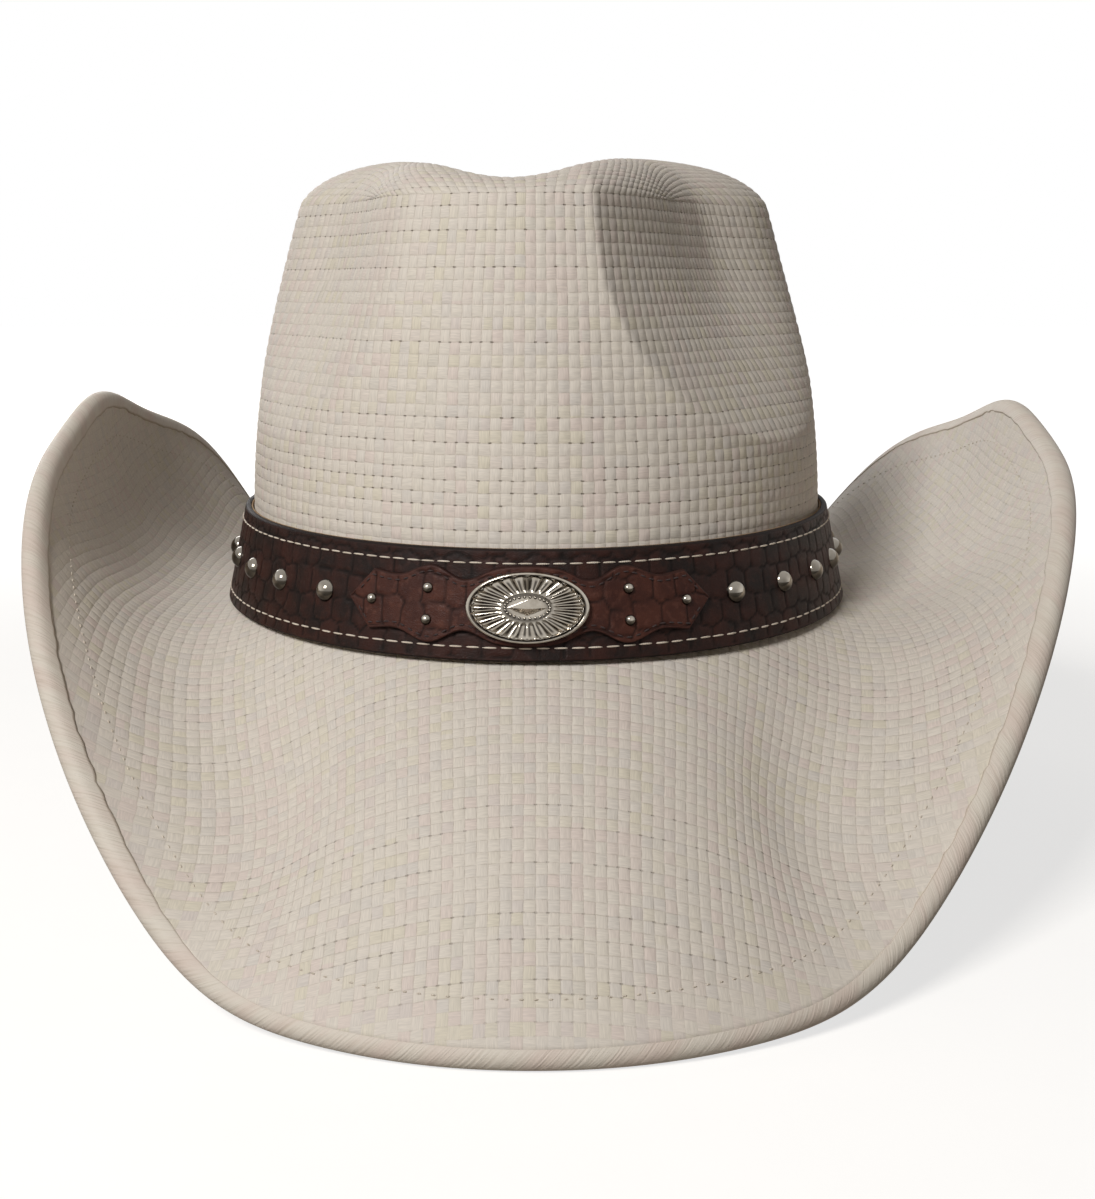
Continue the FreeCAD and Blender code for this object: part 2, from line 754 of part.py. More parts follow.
def group(name, objects):
    """Compound of document objects."""
    bundle = doc.addObject("Part::Compound", name)
    bundle.Links = objects
    return bundle


def make_lining():
    """Thin lining behind the strap."""
    layer = band_layer("lining_layer", "0", "Sizes.lining_wall")
    return add_cut("band_lining", layer, add_back_gap("lining_gap"))


OVERLAY_OUTLINE = (
    (0.0, 9.6), (7.5, 8.9), (15.5, 6.1), (24.0, 9.3), (33.0, 6.6), (40.5, 7.3), (47.5, 0.0))


def front_x(arc):
    """Distance across the front, seen square on, for an arc along the band."""
    side, _ = band_axes(MID_BAND, OVERLAY_FACE)
    return side * sin(angle_at_arc(arc)) if arc else 0.0


def overlay_wire():
    """Scalloped outline of the overlay, as seen from the front."""
    stretch = size("overlay_half_length") / OVERLAY_OUTLINE[-1][0]
    quarter = [(front_x(arc * stretch), reach) for arc, reach in OVERLAY_OUTLINE]
    tip = Vector(quarter[-1][0], 0, MID_BAND)
    far_tip = Vector(-tip.x, 0, MID_BAND)
    edges = []
    for flip in (1, -1):
        right = [Vector(x, 0, MID_BAND + reach * flip) for x, reach in quarter[:-1]]
        left = [Vector(-point.x, 0, point.z) for point in right[1:]]
        line = list(reversed(left)) + right
        curve = Part.BSplineCurve()
        curve.interpolate(line)
        edges.append(curve.toShape())
        edges.append(Part.makeLine(line[0], far_tip))
        edges.append(Part.makeLine(line[-1], tip))
    return Part.Wire(Part.__sortEdges__(edges))


def front_prism(name, wire, shift):
    """Prism from the hat's middle out through the front, on a drawn outline."""
    outline = doc.addObject("Part::Feature", f"{name}_outline")
    outline.Shape = wire
    outline.Placement = FreeCAD.Placement(AXIS + Vector(shift, 0, 0), FreeCAD.Rotation())
    prism = doc.addObject("Part::Extrusion", name)
    prism.Base = outline
    prism.DirMode = "Custom"
    prism.Dir = Vector(0, -1, 0)
    prism.setExpression("LengthFwd", "Sizes.crown_half_length * 1.5")
    prism.Solid = True
    return prism


def add_common(name, base, tool):
    """What two objects share."""
    common = doc.addObject("Part::Common", name)
    common.Base = base
    common.Tool = tool
    return common


def make_overlay():
    """Scalloped leather piece on the front of the strap."""
    layer = band_layer("overlay_layer", OVERLAY_IN, OVERLAY_OUT)
    prism = front_prism("overlay_prism", overlay_wire(), front_x(size("overlay_shift")))
    blank = add_common("overlay_blank", layer, prism)
    drills = [
        fastener_holes("overlay_holes", bead_seats(-1) + bead_seats(1), OVERLAY_DEPTH),
        fastener_holes("overlay_post_holes", post_seats(), POST_DEPTH),
    ]
    return add_cut("front_overlay", blank, group("overlay_drills", drills))


def make_tab():
    """Leather tab over the strap ends: cut as for the front, then turned to the back."""
    layer = band_layer("tab_layer", OVERLAY_IN, OVERLAY_OUT)
    block = doc.addObject("Part::Box", "tab_block")
    block.setExpression("Length", "Sizes.tab_length")
    block.setExpression("Width", "Sizes.crown_half_length")
    block.setExpression("Height", "Sizes.band_height * 2")
    block.setExpression("Placement.Base.x", "Sizes.crown_axis_offset - Sizes.tab_length / 2")
    block.setExpression("Placement.Base.y", "-Sizes.crown_half_length * 3 / 2")
    block.setExpression("Placement.Base.z", f"{BASE_LEVEL} - Sizes.band_height / 2")
    blank = add_common("tab_blank", layer, block)
    holes = fastener_holes("tab_holes", front_rivet_seats(), OVERLAY_DEPTH)
    tab = add_cut("back_tab", blank, holes)
    tab.Placement = FreeCAD.Placement(Vector(), FreeCAD.Rotation(Vector(0, 0, 1), 180))
    tab.setExpression("Placement.Base.x", "Sizes.crown_axis_offset * 2")
    return tab


def oval_wire(inset):
    """Oval outline of the ornament, drawn in by an inset, seen from the front."""
    middle = Vector(0, 0, MID_BAND)
    long_end = middle + Vector(size("concho_length") / 2 - inset, 0, 0)
    short_end = middle + Vector(0, 0, size("concho_width") / 2 - inset)
    return Part.Wire([Part.Ellipse(long_end, short_end, middle).toShape()])


FLUTE_START = 0.4
FLUTE_END = 0.86
FLUTE_INNER_RADIUS = 0.3
FLUTE_OUTER_RADIUS = 0.85
FIELD_MARGIN = 0.25
DIAMOND_LENGTH = 9.0
DIAMOND_WIDTH = 3.2
DIAMOND_RISE = 1.6


def relief_point(turn, reach):
    """Point on the ornament's front, part of the way out at one angle."""
    arc = size("overlay_shift") + reach * size("concho_length") / 2 * cos(turn)
    lift = reach * size("concho_width") / 2 * sin(turn)
    return band_seat(arc, MID_BAND + lift, sheet_value(RELIEF_OUT)).Base


def flute_cutters():
    """Tapered cutters that fan out from the middle and follow the curved front."""
    count = int(size("concho_flutes"))
    cones = []
    for step in range(count):
        turn = 2 * pi * (step + 0.5) / count
        start, end = relief_point(turn, FLUTE_START), relief_point(turn, FLUTE_END)
        way = end - start
        cones.append(Part.makeCone(FLUTE_INNER_RADIUS, FLUTE_OUTER_RADIUS, way.Length, start, way))
    holder = doc.addObject("Part::Feature", "concho_flute_cutters")
    holder.Shape = Part.Compound(cones)
    holder.Placement = FreeCAD.Placement(AXIS, FreeCAD.Rotation())
    return holder


def make_diamond(shift):
    """Long four-sided pyramid in the middle of the ornament."""
    _, length = band_axes(MID_BAND, sheet_value(PLATE_IN) + size("concho_plate") / 2)
    base, tip = -length, -length - size("concho_plate") / 2 - size("concho_relief") * DIAMOND_RISE
    half_long, half_wide = DIAMOND_LENGTH / 2, DIAMOND_WIDTH / 2
    ring = [Vector(half_long, base, 0), Vector(0, base, half_wide),
            Vector(-half_long, base, 0), Vector(0, base, -half_wide)]
    ring = [corner + Vector(shift, 0, MID_BAND) for corner in ring]
    peak = Vector(shift, tip, MID_BAND)
    faces = [Part.Face(Part.makePolygon(ring + [ring[0]]))]
    for start, end in zip(ring, ring[1:] + [ring[0]]):
        faces.append(Part.Face(Part.makePolygon([start, end, peak, start])))
    holder = doc.addObject("Part::Feature", "concho_diamond")
    holder.Shape = sewn_solid(faces)
    holder.Placement = FreeCAD.Placement(AXIS, FreeCAD.Rotation())
    return holder


def make_concho():
    """Oval metal ornament: curved plate, plain rim, fluted field and diamond."""
    shift = front_x(size("overlay_shift"))
    rim = size("concho_rim")
    plate_layer = band_layer("concho_plate_layer", PLATE_IN, PLATE_OUT)
    relief_layer = band_layer("concho_relief_layer", PLATE_OUT, RELIEF_OUT)
    whole = front_prism("concho_prism", oval_wire(0), shift)
    inside = front_prism("concho_inside", oval_wire(rim), shift)
    field_prism = front_prism("concho_field_prism", oval_wire(rim + FIELD_MARGIN), shift)
    plate = add_common("concho_plate", plate_layer, whole)
    relief = add_common("concho_relief", relief_layer, whole)
    rim_ring = add_cut("concho_rim", relief, inside)
    field = add_common("concho_field", relief_layer, field_prism)
    fluted = add_cut("concho_fluted", field, flute_cutters())
    return add_fusion("concho", [plate, rim_ring, fluted, make_diamond(shift)])


def make_posts():
    """Posts that pass from the ornament through the overlay and the strap."""
    length = POST_DEPTH - size("back_clearance")
    post = Part.makeCylinder(size("shank_diameter") / 2, length)
    post.translate(Vector(0, 0, -length))
    return copies("concho_posts", post, post_seats())


def make_fasteners():
    """Studs, rivets and the washers behind them, as groups of equal solids."""
    dome = domed_stud(size("dome_diameter"), size("dome_rise"), STRAP_DEPTH)
    bead = domed_stud(size("bead_diameter"), size("bead_rise"), OVERLAY_DEPTH)
    rivet = domed_stud(size("rivet_diameter"), size("rivet_rise"), OVERLAY_DEPTH)
    made = []
    for side, word in ((-1, "left"), (1, "right")):
        domes, beads = dome_seats(side), bead_seats(side)
        made.append(copies(f"dome_studs_{word}", dome, domes))
        made.append(copies(f"dome_stud_backs_{word}", sunk_burr(STRAP_DEPTH), domes))
        made.append(copies(f"overlay_studs_{word}", bead, beads))
        made.append(copies(f"overlay_stud_backs_{word}", sunk_burr(OVERLAY_DEPTH), beads))
    made.append(copies("back_tab_rivets", rivet, rivet_seats()))
    made.append(copies("back_tab_rivet_backs", sunk_burr(OVERLAY_DEPTH), rivet_seats()))
    made.append(copies("concho_post_backs", sunk_burr(POST_DEPTH), post_seats()))
    return made


def sunk_burr(leather):
    """Washer at the far end of a shank that goes through the leather."""
    washer = burr()
    washer.translate(Vector(0, 0, size("back_clearance") - leather))
    return washer


def sweatband_skin(name, wall):
    """Solid core of the sweatband, drawn in by a wall from its outside."""
    inset = f"(Sizes.straw_wall + Sizes.sweatband_gap + {wall})"
    side = f"Sizes.crown_half_width - {inset}"
    length = f"Sizes.crown_half_length - {inset}"
    rings = [
        add_ellipse(f"{name}_foot", f"{side} + Sizes.sweatband_spread",
                    f"{length} + Sizes.sweatband_spread", "Sizes.split_height"),
        add_ellipse(f"{name}_waist", side, length, "Sizes.sweatband_waist"),
        add_ellipse(f"{name}_top", f"{side} - Sizes.sweatband_lean_side",
                    f"{length} - Sizes.sweatband_lean_front",
                    "Sizes.split_height + Sizes.sweatband_height"),
    ]
    return add_loft(name, rings)


def make_sweatband():
    """Elastic band that follows the inside of the crown's foot."""
    outer = sweatband_skin("sweatband_outer", "0")
    inner = sweatband_skin("sweatband_inner", "Sizes.sweatband_wall")
    return add_cut("sweatband", outer, inner)


def build_all():
    """Every node of the hat, as document objects."""
    nodes = [make_crown(), make_brim(), make_hem()]
    sleeve = size("sleeve_diameter") / 2
    wire = size("wire_diameter") / 2
    nodes.append(make_tube("wire_sleeve", sleeve, wire + size("running_gap"), 8))
    nodes.append(make_tube("brim_wire", wire, 0, 6))
    nodes += [make_sweatband(), make_strap(), make_lining(), make_overlay(), make_tab()]
    nodes += [make_concho(), make_posts()] + make_fasteners()
    return nodes


def check(objects):
    """Stop on any failed object or bad shape."""
    for piece in doc.Objects:
        if "Invalid" in piece.State or "Error" in piece.State:
            raise RuntimeError(f"{piece.Name} failed to build: {piece.State}")
    for piece in objects:
        if piece.Shape.isNull() or not piece.Shape.isValid() or piece.Shape.Volume <= 0:
            raise RuntimeError(f"{piece.Name} has no valid shape")


def export(objects):
    """One STEP file for each node."""
    os.makedirs(PARTS_FOLDER, exist_ok=True)
    for piece in objects:
        piece.Label = piece.Name
        piece.Shape.exportStep(f"{PARTS_FOLDER}/{piece.Name}.step")
        box = piece.Shape.BoundBox
        print(f"{piece.Name}: {len(piece.Shape.Solids)} solids, {piece.Shape.Volume:.0f} mm3, "
              f"x {box.XMin:.1f} {box.XMax:.1f} y {box.YMin:.1f} {box.YMax:.1f} "
              f"z {box.ZMin:.1f} {box.ZMax:.1f}")


nodes = build_all()
doc.recompute()
check(nodes)
export(nodes)
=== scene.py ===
"""Looks of a woven straw cowboy hat with a studded leather band.

Sizes in the classes are millimetres. Places are measured from the hat's upright
axis, at the level of the band's lower edge. Angles start at the front (-Y) and
grow towards +X. Mesh.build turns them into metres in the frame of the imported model.
The reliefs of the finishes and all sizes of the studio are metres already.
"""
import logging
import math
from dataclasses import dataclass, field
from enum import Enum

import bmesh
import bpy
import numpy as np
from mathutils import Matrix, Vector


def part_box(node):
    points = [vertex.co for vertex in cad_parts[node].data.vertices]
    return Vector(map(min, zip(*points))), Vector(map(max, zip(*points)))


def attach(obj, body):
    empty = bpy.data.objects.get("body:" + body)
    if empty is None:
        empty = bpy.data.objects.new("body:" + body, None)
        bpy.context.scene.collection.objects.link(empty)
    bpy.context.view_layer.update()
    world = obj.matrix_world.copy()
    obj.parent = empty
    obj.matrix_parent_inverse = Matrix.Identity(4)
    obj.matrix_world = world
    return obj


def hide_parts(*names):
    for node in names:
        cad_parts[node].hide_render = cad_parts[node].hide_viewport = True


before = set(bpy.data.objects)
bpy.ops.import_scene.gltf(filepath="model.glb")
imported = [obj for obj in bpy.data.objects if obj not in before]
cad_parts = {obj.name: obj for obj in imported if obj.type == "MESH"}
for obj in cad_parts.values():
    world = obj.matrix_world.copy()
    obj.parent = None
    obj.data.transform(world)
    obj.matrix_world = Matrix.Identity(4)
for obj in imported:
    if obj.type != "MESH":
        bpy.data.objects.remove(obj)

LOG = logging.getLogger("cowboy_hat")
MM = 0.001
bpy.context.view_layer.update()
STRAP_LOW, STRAP_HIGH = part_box("band_strap")
AXIS = np.array([(STRAP_LOW.x + STRAP_HIGH.x) / 2, (STRAP_LOW.y + STRAP_HIGH.y) / 2, STRAP_LOW.z])
UV_NAME = "cloth"
GROOVE = "groove"
HAT = "hat"
BAND = "hatband"
PLAIN_SHARE = 0.02
Array = np.ndarray
Socket = bpy.types.NodeSocket


class Side(Enum):
    """Which side of the hat a piece is on, seen from the front."""

    LEFT = -1
    RIGHT = 1


def smooth(value: Array) -> Array:
    """Ease from 0 to 1 with flat ends: 3t^2 - 2t^3 of the clamped value."""
    clamped = np.clip(value, 0.0, 1.0)
    return clamped * clamped * (3 - 2 * clamped)


def unit(vectors: Array) -> Array:
    """Vectors divided by their lengths along the last axis."""
    return vectors / np.linalg.norm(vectors, axis=-1, keepdims=True)


def points_of(x: Array, y: Array, z: Array) -> Array:
    """Three coordinate arrays stacked as points on a new last axis."""
    return np.stack(np.broadcast_arrays(x, y, z), axis=-1).astype(float)


def wrapped(angle: Array) -> Array:
    """The same angles between -pi and pi."""
    return np.arctan2(np.sin(angle), np.cos(angle))


def by_side(angle: Array, left: float, right: float) -> Array:
    """One value on the left half of the hat and another on the right half."""
    return np.where(wrapped(angle) > 0, right, left)


def hashed(column: Array, row: Array, seed: float) -> Array:
    """Repeatable random numbers from 0 to 1 for whole lattice cells."""
    wave = np.sin(column * 127.1 + row * 311.7 + seed * 74.7) * 43758.5453
    return wave - np.floor(wave)


def slow_noise(place: Array, seed: float) -> Array:
    """Smooth random curve from -1 to 1, with one random value per unit of place.

    Args:
        place: places along the curve.
        seed: picks the curve.

    Returns:
        Values of the same shape.
    """
    start = np.floor(place)
    ease = smooth(place - start)
    low, high = hashed(start, 0 * start, seed), hashed(start + 1, 0 * start, seed)
    return (low + (high - low) * ease) * 2 - 1


def grid_normals(points: Array, closed: bool) -> Array:
    """Unit normals of a grid: step along a row crossed with step along a column.

    Args:
        points: grid of shape (rows, columns, 3).
        closed: whether the last column is next to the first.

    Returns:
        Normals of the same shape.
    """
    if closed:
        along = np.roll(points, -1, axis=1) - np.roll(points, 1, axis=1)
    else:
        along = np.gradient(points, axis=1)
    return unit(np.cross(along, np.gradient(points, axis=0)))


class Mesh:
    """Gathers grids of points into one closed piece with a UV map and a groove mask."""

    def __init__(self, name: str) -> None:
        """Start an empty piece of that name.

        Args:
            name: name of the piece.
        """
        self.name = name
        self.points: list[Array] = []
        self.quads: list[Array] = []
        self.places: list[Array] = []
        self.masks: list[Array] = []
        self.count = 0

    def grid(self, points: Array, uv: Array | None = None, closed: bool = False,
             mask: Array | float = 0.0) -> None:
        """Add one grid of quads.

        Args:
            points: shape (rows, columns, 3), in millimetres.
            uv: shape (rows, columns, 2), with one more column on a closed grid.
            closed: whether the last column joins the first.
            mask: groove mask for each point, or one value for all.
        """
        rows, columns = points.shape[:2]
        number = self.count + np.arange(rows * columns).reshape(rows, columns)
        if closed:
            number = np.concatenate([number, number[:, :1]], axis=1)
        if uv is None:
            uv = np.zeros(number.shape + (2,))
        corners = [(slice(None, -1), slice(None, -1)), (slice(None, -1), slice(1, None)),
                   (slice(1, None), slice(1, None)), (slice(1, None), slice(None, -1))]
        self.quads.append(np.stack([number[pick] for pick in corners], axis=-1).reshape(-1, 4))
        self.places.append(np.stack([uv[pick] for pick in corners], axis=2).reshape(-1, 2))
        self.points.append(points.reshape(-1, 3))
        self.masks.append(np.broadcast_to(mask, (rows, columns)).reshape(-1))
        self.count += rows * columns

    def loop_caps(self, first: Array, last: Array) -> None:
        """Close both ends of a swept loop with a ladder of quads.

        Args:
            first: the loop's points at one end, an even number of them.
            last: the loop's points at the other end.
        """
        for loop in (first, last):
            half = len(loop) // 2
            self.grid(np.stack([loop[:half], loop[::-1][:half]], axis=1), mask=1.0)

    def build(self, material: bpy.types.Material, body: str, slot: str,
              replaces: tuple[str, ...] = (), crease: float | None = None) -> bpy.types.Object:
        """Make the piece, merge its doubles and face it outwards.

        Args:
            material: the finish.
            body: body that the piece rides on.
            slot: material slot of the record; not used.
            replaces: nodes that the piece stands for.
            crease: angle in degrees above which edges stay sharp.

        Returns:
            The new object, at the origin.
        """
        places = (np.concatenate(self.points) * MM + AXIS).astype(np.float32)
        quads = np.concatenate(self.quads).astype(np.int32)
        mesh = bpy.data.meshes.new(self.name)
        mesh.vertices.add(len(places))
        mesh.vertices.foreach_set("co", places.ravel())
        mesh.loops.add(quads.size)
        mesh.loops.foreach_set("vertex_index", quads.ravel())
        mesh.polygons.add(len(quads))
        mesh.polygons.foreach_set("loop_start", np.arange(0, quads.size, 4, dtype=np.int32))
        uv_map = mesh.uv_layers.new(name=UV_NAME)
        uv_map.uv.foreach_set("vector", np.concatenate(self.places).astype(np.float32).ravel())
        groove = mesh.attributes.new(GROOVE, "FLOAT", "POINT")
        groove.data.foreach_set("value", np.concatenate(self.masks).astype(np.float32))
        mesh.update(calc_edges=True)
        work = bmesh.new()
        work.from_mesh(mesh)
        bmesh.ops.remove_doubles(work, verts=work.verts, dist=1e-7)
        bmesh.ops.recalc_face_normals(work, faces=work.faces)
        work.to_mesh(mesh)
        work.free()
        mesh.polygons.foreach_set("use_smooth", np.ones(len(mesh.polygons), dtype=bool))
        if crease is not None:
            mesh.set_sharp_from_angle(angle=math.radians(crease))
        piece = bpy.data.objects.new(self.name, mesh)
        bpy.context.scene.collection.objects.link(piece)
        mesh.materials.append(material)
        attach(piece, body)
        if replaces:
            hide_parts(*replaces)
        LOG.info("%s: %d faces on %s", self.name, len(mesh.polygons), body)
        return piece


@dataclass(frozen=True)
class CrownForm:
    """Outer surface of the creased crown."""

    half_width: float = 84.2
    half_length: float = 104.2
    wall: float = 1.5
    split: float = 3.4
    flare: float = 3.0
    flare_length: float = 6.0
    band_height: float = 26.6
    shoulder: float = 112.0
    top: float = 126.5
    side_taper: float = 14.6
    front_taper: float = 21.0
    back_taper: float = 17.0
    crease_depth: float = 21.0
    crease_width: float = 17.0
    crease_shift: float = -6.0
    crease_middle: float = 12.0
    crease_reach: float = 95.0
    crease_at_rim: float = 0.2
    top_fall: float = 7.0
    top_lean: float = 0.33
    dent_depth: tuple[float, float] = (12.0, 20.5)
    dent_angle: tuple[float, float] = (58.0, 54.0)
    dent_reach: tuple[float, float] = (31.0, 42.0)
    dent_edge: tuple[float, float] = (0.4, 0.95)
    dent_level: float = 104.0
    dent_tall: float = 55.0

    def wall_point(self, angle: Array, height: Array) -> Array:
        """Side wall: an ellipse that tapers by powers of the height, pushed in at two dents.

        Args:
            angle: angles round the hat.
            height: heights over the band's lower edge.

        Returns:
            Points of the wall.
        """
        rise = np.maximum(height - self.band_height, 0.0) / (self.shoulder - self.band_height)
        flare = self.flare * np.exp(-(height - self.split) / self.flare_length)
        side = self.half_width + flare - self.side_taper * rise ** 1.8
        front = self.half_length + flare - self.front_taper * rise ** 1.25
        back = self.half_length + flare - self.back_taper * rise ** 1.8
        depth = np.where(np.cos(angle) > 0, front, back)
        x, y = side * np.sin(angle), -depth * np.cos(angle)
        kept = 1 - self.dent(angle, height) / np.hypot(x, y)
        return points_of(x * kept, y * kept, height)

    def dent(self, angle: Array, height: Array) -> Array:
        """Depth of the pinched basins: an oval in angle and height on each side.

        With r from 0 in the oval's middle to 1 at its rim, the depth follows a mix of a
        smooth step of 1 - r, and of 1 - r^2, which ends with a slope and leaves a ridge
        on the side towards the front.

        Args:
            angle: angles round the hat.
            height: heights over the band's lower edge.

        Returns:
            How far the wall is pushed in.
        """
        across = ((np.degrees(np.abs(wrapped(angle))) - by_side(angle, *self.dent_angle))
                  / by_side(angle, *self.dent_reach))
        upward = np.minimum(height - self.dent_level, 0.0) / self.dent_tall
        spread = np.minimum(np.hypot(across, upward), 1.0)
        edge = by_side(angle, *self.dent_edge) * smooth(0.6 - 0.6 * across)
        depth = (1 - edge) * smooth(1.15 * (1 - spread)) + edge * (1 - spread ** 2)
        return by_side(angle, *self.dent_depth) * depth

    def top_point(self, angle: Array, scale: Array) -> Array:
        """Top: the shoulder ring drawn in by a scale, lifted by the square root of
        1 - scale^5 towards a roof with one long hollow. The lift leans inwards like the
        wall below it, so that no line shows between them.

        Args:
            angle: angles round the hat.
            scale: 1 at the shoulder and 0 in the middle.

        Returns:
            Points of the top.
        """
        rim = self.wall_point(angle, np.full_like(scale, self.shoulder))
        x, y = rim[..., 0] * scale, rim[..., 1] * scale
        along = np.maximum(1 - ((y - self.crease_middle) / self.crease_reach) ** 2, 0.0) ** 2
        fade = self.crease_at_rim + (1 - self.crease_at_rim) * along
        across = np.exp(-((x - self.crease_shift) / self.crease_width) ** 2)
        roof = (self.top - self.top_fall * (np.hypot(x, y) / self.half_length) ** 2
                - self.crease_depth * across * fade)
        lift = (roof - self.shoulder) * np.sqrt(np.maximum(1 - scale ** 5, 0.0))
        radius = np.hypot(rim[..., 0], rim[..., 1])
        kept = 1 - self.top_lean * lift * scale ** 6 / radius
        return points_of(x * kept, y * kept, self.shoulder + lift)


@dataclass(frozen=True)
class BrimForm:
    """Upper face of the curled brim, out to the centre of its rolled edge."""

    crown: CrownForm = field(default_factory=CrownForm)
    half_width: float = 149.5
    half_length: float = 183.5
    drop: float = 66.9
    tip_height: tuple[float, float] = (42.8, 40.0)
    lean: tuple[float, float] = (9.5, -3.1)
    turn: tuple[float, float] = (46.0, 40.0)
    turn_front: float = -10.5
    tip_setback: float = 10.0
    crest: float = 10.2
    crest_place: float = 29.2
    crest_spread: float = 31.7
    droop: float = 4.4
    droop_angle: float = 29.7
    droop_spread: float = 10.3
    bend_radius: float = 4.0
    roll_radius: float = 3.1
    handle: float = 0.42
    step: float = 1e-3

    def edge(self, angle: Array) -> tuple[Array, Array]:
        """Edge of the brim: a superellipse in plan, raised on both sides.

        Args:
            angle: angles around the hat.

        Returns:
            Points of the roll's centre, and the share of the curl's height there.
        """
        power = 2 / np.where(np.cos(angle) > 0, 1.96, 2.34)
        x = self.half_width * np.sign(np.sin(angle)) * np.abs(np.sin(angle)) ** power
        y = -self.half_length * np.sign(np.cos(angle)) * np.abs(np.cos(angle)) ** power
        ahead = np.clip((self.tip_setback - y) / (self.tip_setback + self.half_length), 0, 1)
        behind = np.clip((y - self.tip_setback) / (self.half_length - self.tip_setback), 0, 1)
        front_rise = np.maximum(1 - ahead ** 2.43, 0.0) ** 1.79
        back_rise = 0.5 + 0.5 * np.cos(np.pi * behind ** 2.58)
        rise = np.where(y < self.tip_setback, front_rise, back_rise)
        height = -self.drop + (by_side(angle, *self.tip_height) + self.drop) * rise
        off_front = np.degrees(np.arccos(np.clip(np.cos(angle), -1, 1))) - self.droop_angle
        height = height - self.droop * np.exp(-(off_front / self.droop_spread) ** 2)
        height = height + self.crest * np.exp(-((y - self.crest_place) / self.crest_spread) ** 2)
        x = x - np.sign(x) * by_side(angle, *self.lean) * rise ** 3
        return points_of(x, y, height), rise

    def section(self, angle: Array) -> tuple[Array, Array, Array]:
        """Plan direction of each section, and its slopes at the bend and at the edge.

        Args:
            angle: angles round the hat.

        Returns:
            Plan direction, slope at the bend and slope at the edge.
        """
        edge, rise = self.edge(angle)
        foot = self.crown.wall_point(angle, np.full_like(angle, self.crown.split))
        plan = (edge - foot) * np.array([1.0, 1.0, 0.0])
        chord = np.arctan2(edge[..., 2], np.linalg.norm(plan, axis=-1))
        front = math.radians(self.turn_front)
        turn = front + (np.radians(by_side(angle, *self.turn)) - front) * rise ** 0.8
        return unit(plan), chord - turn, chord + turn

    def edge_frame(self, angle: Array) -> tuple[Array, Array, Array]:
        """Centre of the roll, the way out across it and the way up from it.

        Args:
            angle: angles round the hat.

        Returns:
            Centre, way out and way up for each angle.
        """
        plan, _, end_slope = self.section(angle)
        run = unit(self.edge(angle + self.step)[0] - self.edge(angle - self.step)[0])
        upward = unit(np.cross(tilted(plan, end_slope), run))
        return self.edge(angle)[0], np.cross(run, upward), upward

    def bend(self, angle: Array, share: Array) -> Array:
        """Bend from the upright wall to the brim: part of a circle in each section.

        Args:
            angle: angles round the hat.
            share: share of the way, from 0 to 1.

        Returns:
            Points of the bend.
        """
        plan, start_slope, _ = self.section(angle)
        turned = (share * (np.pi / 2 + start_slope))[..., None]
        foot = self.crown.wall_point(angle, np.full_like(angle, self.crown.split))
        level = self.bend_radius * (1 - np.cos(turned))
        down = self.bend_radius * np.sin(turned) * np.array([0.0, 0.0, 1.0])
        return foot + plan * level - down

    def face(self, angle: Array, share: Array) -> Array:
        """Sheet of the brim: a cubic from the bend's end to the top of the roll.

        Args:
            angle: angles round the hat.
            share: share of the way, from 0 to 1.

        Returns:
            Points of the upper face.
        """
        plan, start_slope, _ = self.section(angle)
        edge, outward, upward = self.edge_frame(angle)
        start = self.bend(angle, np.ones_like(angle))
        finish = edge + upward * self.roll_radius
        reach = np.linalg.norm(finish - start, axis=-1, keepdims=True) * self.handle
        first = start + tilted(plan, start_slope) * reach
        second = finish - outward * reach
        part = np.asarray(share)[..., None]
        rest = 1 - part
        return (start * rest ** 3 + first * (3 * rest ** 2 * part)
                + second * (3 * rest * part ** 2) + finish * part ** 3)

    def near_edge(self, angle: Array, inward: Array, lift: Array) -> Array:
        """Points some way in from the roll, lifted off the upper face by a height.

        Args:
            angle: angles round the hat.
            inward: distance in from the roll.
            lift: height off the face.

        Returns:
            Points over or under the face.
        """
        width = np.linalg.norm(self.face(angle, np.ones_like(angle))
                               - self.face(angle, np.zeros_like(angle)), axis=-1)
        share = 1 - inward / width
        across = self.face(angle + self.step, share) - self.face(angle - self.step, share)
        outward = self.face(angle, share) - self.face(angle, share - self.step)
        return self.face(angle, share) + unit(np.cross(outward, across)) * lift[..., None]


def tilted(plan: Array, slope: Array) -> Array:
    """Unit vectors along a plan direction, tilted up by a slope."""
    upright = np.array([0.0, 0.0, 1.0])
    return plan * np.cos(slope)[..., None] + upright * np.sin(slope)[..., None]


